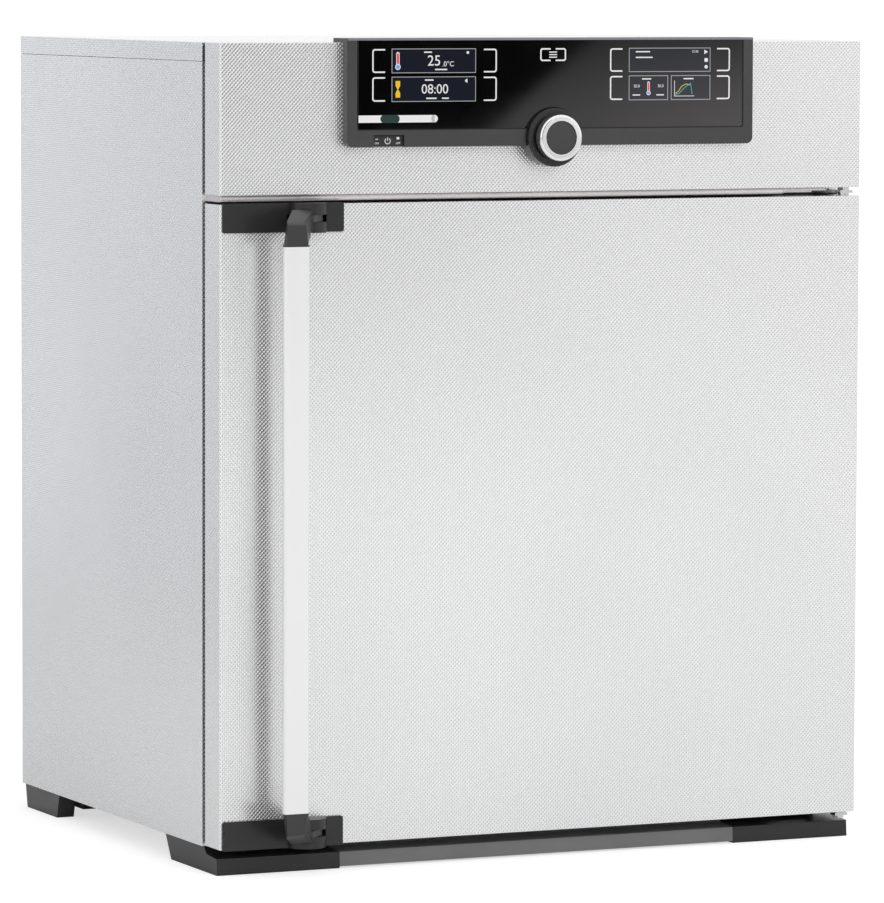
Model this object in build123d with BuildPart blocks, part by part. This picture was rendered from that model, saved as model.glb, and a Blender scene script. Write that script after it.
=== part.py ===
from build123d import *
import math
import os

# Cooled laboratory incubator, in millimetres.
# +X points to the viewer's right, +Y to the back and +Z up.
# The origin is on the floor, in the middle of the outer box.

# Cabinet
WIDTH = 745.0
CASE_DEPTH = 535.3
JOINT_GAP = 8.3
DOOR_THICKNESS = 40.4
HANDLE_REACH = 56.0
MODULE_DEPTH = 90.0
FOOT_HEIGHT = 26.7
DOOR_RISE = 2.0
DOOR_HEIGHT = 669.1
FASCIA_GAP = 9.2
FASCIA_HEIGHT = 157.0
SHEET = 1.0
FRONT_PLATE_SHEET = 1.5
PANEL_FLANGE = 12.0
TOP_COVER_DROP = 19.5
SEAM_GAP = 0.5
EDGE_RADIUS = 2.0

# Chamber
CHAMBER_SIDE_WALL = 92.5
CHAMBER_END_WALL = 94.55
CHAMBER_REAR_WALL = 132.8
BAFFLE_SPACE = 39.0
RAIL_WIDTH = 8.0
RAIL_HEIGHT = 5.0
RAIL_PITCH = 45.0
LOWER_SHELF_RAIL_COUNT = 2
UPPER_SHELF_RAIL_COUNT = 6
SHELF_ROD_RADIUS = 3.0
SHELF_WIRE_RADIUS = 2.0
SHELF_WIRE_COUNT = 21

# Clearances
SOFT_CLEARANCE = 0.3
TURNING_CLEARANCE = 0.05
SLIDING_CLEARANCE = 0.3

# Door hinge
HINGE_INSET = 12.0
HINGE_BEHIND_FACE = 15.0
HINGE_PIN_RADIUS = 4.0
HINGE_PLATE = 3.0
HINGE_WASHER_RADIUS = 6.0
HINGE_NUT_RADIUS = 6.8

# Door inside
DOOR_RECESS = 14.0
RECESS_MARGIN = 32.0
DOOR_SEAL_WIDTH = 16.0
DOOR_SEAL_OFFSET = 6.0
EDGE_PROFILE_WIDTH = 7.0
EDGE_PROFILE_DEPTH = 4.0

# Inner glass door
GLASS_THICKNESS = 5.0
GLASS_OVERLAP = 16.0
GLASS_SEAL_WIDTH = 10.0
GLASS_PIVOT_GAP = 4.0
GLASS_KNUCKLE_RADIUS = 4.0
GLASS_PIN_RADIUS = 2.0
GLASS_KNOB_RADIUS = 7.0
GLASS_KNOB_LENGTH = 10.0

# Handle, with its places across measured from the door's left side
BRACKET_HEIGHT = 30.6
BRACKET_RISE = 1.2
BRACKET_PROUD = 2.0
BRACKET_CORNER = 2.5
BRACKET_LENGTH = 136.2
BRACKET_SIDE_INSET = 2.0
KNUCKLE_INSET = 97.5
KNUCKLE_RADIUS = 21.0
LEVER_BOSS_RADIUS = 16.5
LEVER_THICKNESS = 7.0
LEVER_SLOT = 7.5
LEVER_BELOW_DOOR_TOP = 14.55
LEVER_PIN_RADIUS = 4.0
HOUSING_DEPTH = 22.0
TONGUE_WIDTH = 8.0
BAR_INSET = 63.25
BAR_WIDTH = 27.7
BAR_DEPTH = 19.0
BAR_BEVEL = 2.0
BAR_SIDE = 7.0
BAR_TAPER = 5.6
BAR_WALL = 2.5
BAR_BELOW_LEVER = 27.25
CAP_BELOW_LEVER = 4.95
CAP_CHAMFER_DEPTH = 6.0
SHOULDER_BELOW_LEVER = 1.55
CAP_SKIRT = 2.0
PLUG_LENGTH = 15.0
ARM_BACK_HEIGHT = 18.5
ARM_BACK_WIDTH = 22.5
ARM_BACK_GAP = 22.0
ARM_BACK_INSET = 71.5

# Control panel
TRIM_STRIP_HEIGHT = 6.8
BEZEL_HALF_WIDTH = 235.5
BEZEL_HEIGHT = 112.7
BEZEL_OVERHANG = 4.5
BEZEL_THICKNESS = 12.5
BEZEL_RADIUS = 7.0
BEZEL_HOOK = 24.0
GLASS_PANEL_SIDE_MARGIN = 11.8
GLASS_PANEL_RISE = 18.4
GLASS_PANEL_THICKNESS = 3.0
GLASS_PANEL_GAP = 0.6
GLASS_PANEL_RADIUS = 4.0
DISPLAY_SIDE_MARGIN = 34.7
DISPLAY_WIDTH = 104.0
DISPLAY_HEIGHT = 60.0
DISPLAY_BELOW_TOP = 34.0
WINDOW_SIDE_MARGIN = 20.5
WINDOW_RISE = 22.0
DISPLAY_DEPTH = 10.0

# Turn-and-push control
KNOB_BELOW_TOP = 99.7
KNOB_BASE_RADIUS = 30.8
KNOB_BASE_PROUD = 18.5
KNOB_RING_RADIUS = 24.35
KNOB_FACE_RADIUS = 17.75
KNOB_PROUD = 34.0
KNOB_RING_BACK = 22.5
KNOB_FACE_RECESS = 1.5
KNOB_SHAFT_RADIUS = 3.0
KNOB_TRAVEL = 1.5

# Power button
BUTTON_INSET = 29.9
BUTTON_WIDTH = 34.9
BUTTON_HEIGHT = 12.3
BUTTON_TRAVEL = 3.0

# Cooling and air
COOLER_HALF_WIDTH = 160.0
COOLER_HEIGHT = 160.0
COLD_BASE = 6.0
COLD_FIN_DEPTH = 12.0
COLD_FIN_COUNT = 33
PEDESTAL_X = 105.0
PEDESTAL_SIZE = 80.0
PELTIER_THICKNESS = 4.0
PELTIER_INSET = 9.0
HOT_BASE = 12.0
HOT_FIN_DEPTH = 40.0
HOT_FIN_COUNT = 31
FIN_THICKNESS = 2.0
CIRCULATION_FAN_RADIUS = 70.0
CIRCULATION_FAN_DEPTH = 12.0
FAN_SHAFT_RADIUS = 3.0
EXHAUST_FAN_SIZE = 120.0
EXHAUST_FAN_DEPTH = 25.0
EXHAUST_FAN_X = 80.0
EXHAUST_FAN_RIM = 6.0
COOLER_OPENING_SIDE = 20.0
COOLER_OPENING_END = 30.0
MODULE_SIDE_MARGIN = 40.0
MODULE_END_MARGIN = 65.0

# Front feet, in distances behind the door face
FRONT_FOOT_FRONT = 13.0
FRONT_FOOT_BACK = 157.5
FRONT_FOOT_BASE_BACK = 141.2
FRONT_FOOT_NOSE_HEIGHT = 17.4
FRONT_FOOT_SHELF_HEIGHT = 19.3
FRONT_FOOT_SHELF_BACK = 41.7
FRONT_FOOT_SEAT = 50.1
FOOT_SIDE_INSET = 2.2
FRONT_FOOT_WIDTH = 139.0

# Rear feet and the bar between them, in distances before the cabinet's back
REAR_FOOT_WIDTH = 20.0
REAR_FOOT_FRONT = 110.2
REAR_FOOT_BASE_FRONT = 102.4
REAR_FOOT_BASE_BACK = 9.4
REAR_FOOT_BACK = 3.7
REAR_BAR_FRONT = 132.0
REAR_BAR_BACK = 100.0
REAR_BAR_BOTTOM = 12.0

# Electronics above the chamber
TRAY_DROP = 15.0
TRAY_RIM = 12.0
POWER_SUPPLY_SIZE = (200.0, 110.0, 50.0)
POWER_SUPPLY_SIDE_GAP = 51.5
POWER_SUPPLY_REAR_GAP = 125.0
BOARD_SIZE = (280.0, 180.0)
BOARD_SIDE_GAP = 80.0
BOARD_REAR_GAP = 155.0
BOARD_POST_HEIGHT = 10.0
BOARD_THICKNESS = 1.6
SLOT_INSET = 152.5
SLOT_LENGTH = 150.0
INLET_INSET = 122.5
INLET_BELOW_TOP = 95.0
INLET_DEPTH = 15.0

# Screws
PANEL_SCREW_ROWS = 5
PANEL_SCREW_RADIUS = 2.0
PANEL_SCREW_HEAD = 3.8
FOOT_SCREW_RADIUS = 3.0
FOOT_SCREW_HEAD = 5.0
FOOT_SCREW_SINK = 8.0

# Places that follow from the sizes above
half_width = WIDTH / 2
total_depth = HANDLE_REACH + DOOR_THICKNESS + JOINT_GAP + CASE_DEPTH + MODULE_DEPTH
handle_front = -total_depth / 2
face = handle_front + HANDLE_REACH
door_back = face + DOOR_THICKNESS
case_front = door_back + JOINT_GAP
case_back = case_front + CASE_DEPTH
module_back = case_back + MODULE_DEPTH
plate_front = case_front + SHEET
plate_back = plate_front + FRONT_PLATE_SHEET
rear_panel_front = case_back - 2 * SHEET
case_bottom = FOOT_HEIGHT
door_bottom = case_bottom + DOOR_RISE
door_top = door_bottom + DOOR_HEIGHT
fascia_bottom = door_top + FASCIA_GAP
case_top = fascia_bottom + FASCIA_HEIGHT
seam = case_top - TOP_COVER_DROP
mid_z = (door_bottom + door_top) / 2
chamber_bottom = door_bottom + CHAMBER_END_WALL
chamber_top = door_top - CHAMBER_END_WALL
chamber_half = half_width - CHAMBER_SIDE_WALL
chamber_back = case_back - CHAMBER_REAR_WALL
liner_back = chamber_back + SHEET
baffle_front = chamber_back - BAFFLE_SPACE
pivot = (half_width - HINGE_INSET, face + HINGE_BEHIND_FACE)
knuckle = (-half_width + KNUCKLE_INSET, face)
inner_half = half_width - SHEET
bezel_front = face - BEZEL_THICKNESS
bezel_top = case_top + BEZEL_OVERHANG
bezel_bottom = bezel_top - BEZEL_HEIGHT
glass_panel_half = BEZEL_HALF_WIDTH - GLASS_PANEL_SIDE_MARGIN
glass_panel_bottom = bezel_bottom + GLASS_PANEL_RISE
display_x = glass_panel_half - DISPLAY_SIDE_MARGIN - DISPLAY_WIDTH / 2
display_z = case_top - DISPLAY_BELOW_TOP
knob_z = case_top - KNOB_BELOW_TOP
button_x = (-BEZEL_HALF_WIDTH + BUTTON_INSET, -BEZEL_HALF_WIDTH + BUTTON_INSET + BUTTON_WIDTH)
button_top = bezel_bottom + BUTTON_HEIGHT
cooler_z = mid_z
cooler_opening_half = COOLER_HALF_WIDTH + COOLER_OPENING_SIDE
cooler_opening_rise = COOLER_HEIGHT / 2 + COOLER_OPENING_END
module_half = COOLER_HALF_WIDTH + MODULE_SIDE_MARGIN
module_rise = COOLER_HEIGHT / 2 + MODULE_END_MARGIN
exhaust_rotor_radius = EXHAUST_FAN_SIZE / 2 - EXHAUST_FAN_RIM
cold_front = chamber_back - COLD_BASE
peltier_back = case_back - PELTIER_INSET
peltier_front = peltier_back - PELTIER_THICKNESS
strip_z = (fascia_bottom - TRIM_STRIP_HEIGHT, fascia_bottom)
tray_level = fascia_bottom - TRAY_DROP
lever_level = door_top - LEVER_BELOW_DOOR_TOP
lever_levels = (lever_level, 2 * mid_z - lever_level)
bar_top = lever_level - BAR_BELOW_LEVER
foot_outer = half_width - FOOT_SIDE_INSET
front_foot_inner = foot_outer - FRONT_FOOT_WIDTH
rear_foot_inner = foot_outer - REAR_FOOT_WIDTH

# Screws: through the rear edges of the side panels, and up through the feet
panel_screws = []
for side in (-1, 1):
    for row in range(PANEL_SCREW_ROWS):
        level = case_bottom + 60.0 + row * (seam - case_bottom - 120.0) / (PANEL_SCREW_ROWS - 1)
        panel_screws.append((side * (half_width - PANEL_FLANGE / 2), level))
foot_screws = []
for side in (-1, 1):
    for x in (front_foot_inner + 30.0, foot_outer - 30.0):
        foot_screws.append((side * x, face + FRONT_FOOT_BASE_BACK - 20.0))
    for y in (REAR_FOOT_BASE_FRONT - 20.0, REAR_FOOT_BASE_BACK + 20.0):
        foot_screws.append((side * (foot_outer - REAR_FOOT_WIDTH / 2), case_back - y))


def slab(x, y, z, mode=Mode.ADD):
    """A box between a low and a high limit along each axis."""
    middle = ((x[0] + x[1]) / 2, (y[0] + y[1]) / 2, (z[0] + z[1]) / 2)
    with Locations(middle):
        return Box(x[1] - x[0], y[1] - y[0], z[1] - z[0], mode=mode)


def upright_rod(x, y, z, radius, mode=Mode.ADD):
    """A cylinder that stands along Z between two levels."""
    with Locations((x, y, (z[0] + z[1]) / 2)):
        return Cylinder(radius, z[1] - z[0], mode=mode)


def depth_rod(x, y, z, radius, mode=Mode.ADD):
    """A cylinder that lies along Y between two depths."""
    with Locations((x, (y[0] + y[1]) / 2, z)):
        return Cylinder(radius, y[1] - y[0], rotation=(90, 0, 0), mode=mode)


def facing_front(x, y, z):
    """A plane at a point, with its normal towards the viewer."""
    return Plane(origin=(x, y, z), x_dir=(1, 0, 0), z_dir=(0, -1, 0))


def span(first, second):
    """Two levels in rising order."""
    return (min(first, second), max(first, second))


def write(name, piece):
    """Label a finished piece and write its file."""
    piece.part.label = name
    export_step(piece.part, "parts/" + name + ".step")


os.makedirs("parts", exist_ok=True)

# Housing sheets: side panels with a return flange at each end
for side, name in ((-1, "side_panel_left"), (1, "side_panel_right")):
    outer = side * half_width
    inner = side * (half_width - SHEET)
    lip = side * (half_width - PANEL_FLANGE)
    with BuildPart() as side_panel:
        with BuildSketch(Plane.XY.offset(case_bottom)):
            with BuildLine():
                Polyline(
                    (outer, case_front),
                    (lip, case_front),
                    (lip, case_front + SHEET),
                    (inner, case_front + SHEET),
                    (inner, case_back - SHEET),
                    (lip, case_back - SHEET),
                    (lip, case_back),
                    (outer, case_back),
                    close=True,
                )
            make_face()
        extrude(amount=seam - SEAM_GAP - case_bottom)
        for x, z in panel_screws:
            if x * side > 0:
                depth_rod(x, (case_back - 2 * SHEET, case_back + 1), z, PANEL_SCREW_RADIUS, Mode.SUBTRACT)
    write(name, side_panel)

# Top cover: folded down over both side panels and over the back
with BuildPart() as top_cover:
    slab((-half_width, half_width), (case_front, case_back), (seam, case_top))
    slab((-inner_half, inner_half), (case_front, case_back - SHEET), (seam, case_top - SHEET), Mode.SUBTRACT)
write("top_cover", top_cover)

# Base pan with an upstand all round
pan_y = (plate_back, rear_panel_front)
with BuildPart() as base_pan:
    slab((-inner_half, inner_half), pan_y, (case_bottom, case_bottom + 15.0))
    slab(
        (-inner_half + SHEET, inner_half - SHEET),
        (pan_y[0] + SHEET, pan_y[1] - SHEET),
        (case_bottom + SHEET, case_bottom + 15.0),
        Mode.SUBTRACT,
    )
    for x, y in foot_screws:
        upright_rod(x, y, (case_bottom - 1, case_bottom + 2), FOOT_SCREW_RADIUS, Mode.SUBTRACT)
write("base_pan", base_pan)

# Front plate with the chamber opening and a passage for the panel's wiring
with BuildPart() as front_plate:
    slab((-inner_half, inner_half), (plate_front, plate_back), (case_bottom, case_top - SHEET))
    slab(
        (-chamber_half, chamber_half),
        (plate_front - 1, plate_back + 1),
        (chamber_bottom, chamber_top),
        Mode.SUBTRACT,
    )
    slab(
        (-60, 60),
        (plate_front - 1, plate_back + 1),
        (fascia_bottom + 40, fascia_bottom + 90),
        Mode.SUBTRACT,
    )
write("front_plate", front_plate)

# Rear panel: opening for the cooling module, inlet cut-out and cooling slots
inlet_x = half_width - INLET_INSET
inlet_z = case_top - INLET_BELOW_TOP
inlet_size = (27.6, 20.4)
slot_levels = [fascia_bottom + 30.0 + 12.0 * row for row in range(8)]
with BuildPart() as rear_panel:
    slab((-inner_half, inner_half), (rear_panel_front, case_back - SHEET), (case_bottom, case_top - SHEET))
    slab(
        (-cooler_opening_half, cooler_opening_half),
        (rear_panel_front - 1, case_back),
        (cooler_z - cooler_opening_rise, cooler_z + cooler_opening_rise),
        Mode.SUBTRACT,
    )
    slab(
        (inlet_x - inlet_size[0] / 2, inlet_x + inlet_size[0] / 2),
        (rear_panel_front - 1, case_back),
        (inlet_z - inlet_size[1] / 2, inlet_z + inlet_size[1] / 2),
        Mode.SUBTRACT,
    )
    with BuildSketch(Plane.XZ.offset(-case_back)):
        with Locations(*[(-half_width + SLOT_INSET, level) for level in slot_levels]):
            SlotOverall(SLOT_LENGTH, 4.0)
    extrude(amount=3 * SHEET, mode=Mode.SUBTRACT)
    for x, z in panel_screws:
        depth_rod(x, (rear_panel_front - 1, case_back), z, PANEL_SCREW_RADIUS, Mode.SUBTRACT)
write("rear_panel", rear_panel)

# Black edge profile that fills the joint behind the door's rim, as four strips
profile_half = half_width - 3.5
profile_y = (plate_front - SHEET - EDGE_PROFILE_DEPTH, plate_front - SHEET)
profile_z = (case_bottom + 3.0, strip_z[0] - SLIDING_CLEARANCE)
with BuildPart() as front_edge_profile:
    for side in (-1, 1):
        slab(
            span(side * profile_half, side * (profile_half - EDGE_PROFILE_WIDTH)),
            (profile_y[0], case_front),
            profile_z,
        )
    for level in (profile_z[0], profile_z[1] - EDGE_PROFILE_WIDTH):
        slab(
            (-profile_half + EDGE_PROFILE_WIDTH + 1.5, profile_half - EDGE_PROFILE_WIDTH - 1.5),
            (profile_y[0], plate_front),
            (level, level + EDGE_PROFILE_WIDTH),
        )
write("front_edge_profile", front_edge_profile)

# Chamber liner, open at the front, with shelf rails along both side walls
rail_count = int((chamber_top - chamber_bottom) / RAIL_PITCH) - 1
rail_tops = [chamber_bottom + RAIL_PITCH * (step + 1) for step in range(rail_count)]
with BuildPart() as inner_chamber:
    slab(
        (-chamber_half - SHEET, chamber_half + SHEET),
        (plate_back, liner_back),
        (chamber_bottom - SHEET, chamber_top + SHEET),
    )
    slab(
        (-chamber_half, chamber_half),
        (plate_back, chamber_back),
        (chamber_bottom, chamber_top),
        Mode.SUBTRACT,
    )
    for side in (-1, 1):
        for top in rail_tops:
            slab(
                span(side * chamber_half, side * (chamber_half - RAIL_WIDTH)),
                (plate_back + 12.0, baffle_front - 4.0),
                (top - RAIL_HEIGHT, top),
            )
    for side in (-1, 1):
        slab(
            (side * PEDESTAL_X - PEDESTAL_SIZE / 2, side * PEDESTAL_X + PEDESTAL_SIZE / 2),
            (chamber_back - 1, liner_back + 1),
            (cooler_z - PEDESTAL_SIZE / 2, cooler_z + PEDESTAL_SIZE / 2),
            Mode.SUBTRACT,
        )
    depth_rod(0, (chamber_back - 1, liner_back + 1), cooler_z, FAN_SHAFT_RADIUS + 1.5, Mode.SUBTRACT)
write("inner_chamber", inner_chamber)

# Insulation round the liner, with a channel for the cold blocks and the motor
insulation_half = inner_half - SHEET - 2.0
pedestal_half = PEDESTAL_X + PEDESTAL_SIZE / 2
with BuildPart() as chamber_insulation:
    slab(
        (-insulation_half, insulation_half),
        (pan_y[0] + SHEET, peltier_front - 1.0),
        (case_bottom + SHEET, tray_level),
    )
    slab(
        (-chamber_half - SHEET, chamber_half + SHEET),
        (pan_y[0], liner_back),
        (chamber_bottom - SHEET, chamber_top + SHEET),
        Mode.SUBTRACT,
    )
    slab(
        (-pedestal_half - 1.0, pedestal_half + 1.0),
        (liner_back, rear_panel_front),
        (cooler_z - PEDESTAL_SIZE / 2 - 1.0, cooler_z + PEDESTAL_SIZE / 2 + 1.0),
        Mode.SUBTRACT,
    )
write("chamber_insulation", chamber_insulation)

# Tray over the insulation that carries the electronics
tray_y = (plate_back + SHEET, rear_panel_front - SHEET)
with BuildPart() as electronics_tray:
    slab((-inner_half, inner_half), tray_y, (tray_level, tray_level + TRAY_RIM))
    slab(
        (-inner_half + SHEET, inner_half - SHEET),
        (tray_y[0] + SHEET, tray_y[1] - SHEET),
        (tray_level + SHEET, tray_level + TRAY_RIM),
        Mode.SUBTRACT,
    )
write("electronics_tray", electronics_tray)

tray_floor = tray_level + SHEET
supply_right = inner_half - POWER_SUPPLY_SIDE_GAP
supply_x = (supply_right - POWER_SUPPLY_SIZE[0], supply_right)
supply_back = case_back - POWER_SUPPLY_REAR_GAP
supply_y = (supply_back - POWER_SUPPLY_SIZE[1], supply_back)
with BuildPart() as power_supply:
    slab(supply_x, supply_y, (tray_floor, tray_floor + POWER_SUPPLY_SIZE[2]))
    fillet(power_supply.edges().filter_by(Axis.Z), 2.0)
write("power_supply", power_supply)

board_right = supply_x[0] - BOARD_SIDE_GAP
board_back = case_back - BOARD_REAR_GAP
board_x = (board_right - BOARD_SIZE[0], board_right)
board_y = (board_back - BOARD_SIZE[1], board_back)
board_bottom = tray_floor + BOARD_POST_HEIGHT
with BuildPart() as control_board:
    slab(board_x, board_y, (board_bottom, board_bottom + BOARD_THICKNESS))
    for x in (board_x[0] + 8.0, board_x[1] - 8.0):
        for y in (board_y[0] + 8.0, board_y[1] - 8.0):
            upright_rod(x, y, (tray_floor, board_bottom), 3.0)
    for step, height in enumerate((18.0, 12.0, 25.0, 9.0)):
        left = board_x[0] + 25.0 + 62.0 * step
        part_y = (board_y[0] + 40.0, board_y[0] + 90.0)
        slab((left, left + 34.0), part_y, (board_bottom, board_bottom + height))
write("control_board", control_board)

# Fascia: a folded sheet box in front of the electronics
window_half = BEZEL_HALF_WIDTH - WINDOW_SIDE_MARGIN
fascia_window = ((-window_half, window_half), (bezel_bottom + WINDOW_RISE, case_top - 3.0))
with BuildPart() as fascia_panel:
    slab((-half_width, half_width), (face, door_back), (fascia_bottom, case_top))
    fillet(fascia_panel.edges().filter_by(Axis.Z).sort_by(Axis.Y)[:2], EDGE_RADIUS)
    slab(
        (-inner_half, inner_half),
        (face + SHEET, door_back),
        (fascia_bottom + SHEET, case_top - SHEET),
        Mode.SUBTRACT,
    )
    slab(fascia_window[0], (face - 1, face + 2), fascia_window[1], Mode.SUBTRACT)
    depth_rod(0, (face - 1, face + 2), knob_z, KNOB_SHAFT_RADIUS + 4.0, Mode.SUBTRACT)
    slab(button_x, (face - 1, face + 2), (bezel_bottom + 1.0, button_top), Mode.SUBTRACT)
write("fascia_panel", fascia_panel)

# Black carrier frame between the fascia and the front plate, as four bars
carrier_half = half_width - 3.5
carrier_z = (fascia_bottom + 3.0, case_top - 3.0)
with BuildPart() as fascia_carrier:
    for side in (-1, 1):
        slab(
            span(side * carrier_half, side * (carrier_half - EDGE_PROFILE_WIDTH)),
            (door_back, case_front),
            carrier_z,
        )
    for level in (carrier_z[0], carrier_z[1] - EDGE_PROFILE_WIDTH):
        slab(
            (-carrier_half + EDGE_PROFILE_WIDTH + 1.5, carrier_half - EDGE_PROFILE_WIDTH - 1.5),
            (door_back, plate_front),
            (level, level + EDGE_PROFILE_WIDTH),
        )
write("fascia_carrier", fascia_carrier)

# Rounded metal strip under the fascia, thinner where the hinge arm passes
strip_half = half_width - 2.5
strip_end = pivot[0] - 11.0
strip_notch = strip_end - 67.0
with BuildPart() as fascia_trim_strip:
    slab((-strip_half, strip_end), (face + 4.0, case_front), strip_z)
    strip_nose = fascia_trim_strip.edges().filter_by(Axis.X).sort_by(Axis.Y)[:2]
    fillet(strip_nose, (strip_z[1] - strip_z[0]) / 2 - 0.1)
    slab((strip_notch, strip_end), (face, plate_front), (strip_z[0], strip_z[0] + 3.6), Mode.SUBTRACT)
    slab((strip_end - 16.0, strip_end), (face, pivot[1] + 26.0), (strip_z[0], strip_z[1]), Mode.SUBTRACT)
write("fascia_trim_strip", fascia_trim_strip)

# Control panel bezel: a plate that hooks over the fascia's upper edge
glass_pocket = GLASS_PANEL_THICKNESS + 0.4
with BuildPart() as cockpit_bezel:
    slab((-BEZEL_HALF_WIDTH, BEZEL_HALF_WIDTH), (bezel_front, face), (bezel_bottom, bezel_top))
    slab((-BEZEL_HALF_WIDTH, BEZEL_HALF_WIDTH), (face, face + BEZEL_HOOK), (case_top, bezel_top))
    bezel_corners = cockpit_bezel.edges().filter_by(Axis.Y).sort_by(Axis.Z)[:2]
    fillet(bezel_corners, BEZEL_RADIUS)
    with BuildSketch(Plane.XZ.offset(-bezel_front)) as pocket:
        with BuildLine():
            pocket_half = glass_panel_half + GLASS_PANEL_GAP
            pocket_bottom = glass_panel_bottom - GLASS_PANEL_GAP
            pocket_top = bezel_top - 0.6
            Polyline(
                (-pocket_half, pocket_top),
                (-pocket_half, pocket_bottom),
                (pocket_half, pocket_bottom),
                (pocket_half, pocket_top),
                close=True,
            )
        make_face()
        fillet(pocket.vertices().group_by(Axis.Y)[0], GLASS_PANEL_RADIUS)
    extrude(amount=-glass_pocket, mode=Mode.SUBTRACT)
    for side in (-1, 1):
        slab(
            (side * display_x - DISPLAY_WIDTH / 2, side * display_x + DISPLAY_WIDTH / 2),
            (bezel_front, face + 1),
            (display_z - DISPLAY_HEIGHT / 2, display_z + DISPLAY_HEIGHT / 2),
            Mode.SUBTRACT,
        )
    depth_rod(0, (bezel_front - 1, face + 1), knob_z, KNOB_BASE_RADIUS + 0.2, Mode.SUBTRACT)
    slab(
        button_x,
        (bezel_front - 1, face + 1),
        (bezel_bottom - 1, button_top),
        Mode.SUBTRACT,
    )
write("cockpit_bezel", cockpit_bezel)

# Glass of the control panel, cut out round the control knob
glass_front = bezel_front + 0.2
with BuildPart() as cockpit_glass:
    with BuildSketch(Plane.XZ.offset(-glass_front)) as glass_outline:
        with BuildLine():
            Polyline(
                (-glass_panel_half, pocket_top - GLASS_PANEL_GAP),
                (-glass_panel_half, glass_panel_bottom),
                (glass_panel_half, glass_panel_bottom),
                (glass_panel_half, pocket_top - GLASS_PANEL_GAP),
                close=True,
            )
        make_face()
        fillet(glass_outline.vertices().group_by(Axis.Y)[0], GLASS_PANEL_RADIUS - 0.5)
        with Locations((0, knob_z)):
            Circle(KNOB_BASE_RADIUS + 3.2, mode=Mode.SUBTRACT)
    extrude(amount=-GLASS_PANEL_THICKNESS)
write("cockpit_glass", cockpit_glass)

# Display modules behind the glass
display_front = glass_front + GLASS_PANEL_THICKNESS + 0.4
for side, name in ((-1, "display_left"), (1, "display_right")):
    with BuildPart() as display:
        slab(
            (
                side * display_x - DISPLAY_WIDTH / 2 + 0.3,
                side * display_x + DISPLAY_WIDTH / 2 - 0.3,
            ),
            (display_front, display_front + DISPLAY_DEPTH),
            (display_z - DISPLAY_HEIGHT / 2 + 0.3, display_z + DISPLAY_HEIGHT / 2 - 0.3),
        )
    write(name, display)

# Round base under the control knob
shaft_hole = KNOB_SHAFT_RADIUS + TURNING_CLEARANCE
base_front = face - KNOB_BASE_PROUD
ring_back = face - KNOB_RING_BACK
with BuildPart() as knob_base:
    depth_rod(0, (base_front, face), knob_z, KNOB_BASE_RADIUS)
    knob_base_rim = knob_base.edges().filter_by(GeomType.CIRCLE).sort_by(Axis.Y)[0]
    fillet(knob_base_rim, 1.5)
    depth_rod(0, (base_front - 1, face + 1), knob_z, shaft_hole, Mode.SUBTRACT)
write("knob_base", knob_base)

# Housings of the encoder and the power switch behind the fascia sheet
encoder_y = (face + SHEET, face + SHEET + 14.0)
button_stem_x = (button_x[0] + 6.0, button_x[1] - 6.0)
button_stem_z = (bezel_bottom + 3.0, button_top - 3.0)
stem_back = face + 6.0
with BuildPart() as control_housings:
    slab((-14.0, 14.0), encoder_y, (knob_z - 14.0, knob_z + 14.0))
    depth_rod(0, (face, encoder_y[0]), knob_z, KNOB_SHAFT_RADIUS + 3.0)
    depth_rod(0, (face, encoder_y[1] - 2.0), knob_z, shaft_hole, Mode.SUBTRACT)
    slab((button_x[0] + 1.0, button_x[1] - 1.0), encoder_y, (bezel_bottom - 2.0, button_top + 2.0))
    slab(
        (button_stem_x[0] - SLIDING_CLEARANCE, button_stem_x[1] + SLIDING_CLEARANCE),
        (face, stem_back + BUTTON_TRAVEL + 1.0),
        (button_stem_z[0] - SLIDING_CLEARANCE, button_stem_z[1] + SLIDING_CLEARANCE),
        Mode.SUBTRACT,
    )
write("control_housings", control_housings)

# Plunger of the encoder and the knob on it

plunger_back = encoder_y[1] - 2.0 - KNOB_TRAVEL - 0.5
plunger_neck = base_front - 1.0 - KNOB_TRAVEL
with BuildPart() as encoder_plunger:
    depth_rod(0, (plunger_neck, plunger_back), knob_z, KNOB_SHAFT_RADIUS)
    depth_rod(0, (face - KNOB_PROUD + 6.3, plunger_neck), knob_z, KNOB_SHAFT_RADIUS - 1.0)
write("encoder_plunger", encoder_plunger)

knob_front = face - KNOB_PROUD
knob_bore = KNOB_SHAFT_RADIUS - 1.0 + TURNING_CLEARANCE
with BuildPart() as knob_ring:
    depth_rod(0, (knob_front, ring_back), knob_z, KNOB_RING_RADIUS)
    ring_edges = knob_ring.edges().filter_by(GeomType.CIRCLE).sort_by(Axis.Y)
    fillet(ring_edges[0], 2.2)
    fillet(ring_edges[-1], 0.8)
    depth_rod(0, (knob_front - 1, knob_front + 6.0), knob_z, KNOB_FACE_RADIUS, Mode.SUBTRACT)
    depth_rod(0, (knob_front, ring_back + 1), knob_z, knob_bore, Mode.SUBTRACT)
write("knob_ring", knob_ring)

with BuildPart() as knob_face:
    depth_rod(0, (knob_front + KNOB_FACE_RECESS, knob_front + 6.0), knob_z, KNOB_FACE_RADIUS)
    fillet(knob_face.edges().filter_by(GeomType.CIRCLE).sort_by(Axis.Y)[0], 0.5)
write("knob_face", knob_face)

# Power button in its recess at the bezel's lower edge
button_front = bezel_front + 3.0
with BuildPart() as power_button:
    slab(
        (button_x[0] + SLIDING_CLEARANCE, button_x[1] - SLIDING_CLEARANCE),
        (button_front, face - 1.0 - BUTTON_TRAVEL),
        (bezel_bottom + SLIDING_CLEARANCE, button_top - SLIDING_CLEARANCE),
    )
    slab(button_stem_x, (face - 1.0 - BUTTON_TRAVEL, stem_back), button_stem_z)
write("power_button", power_button)

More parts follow.
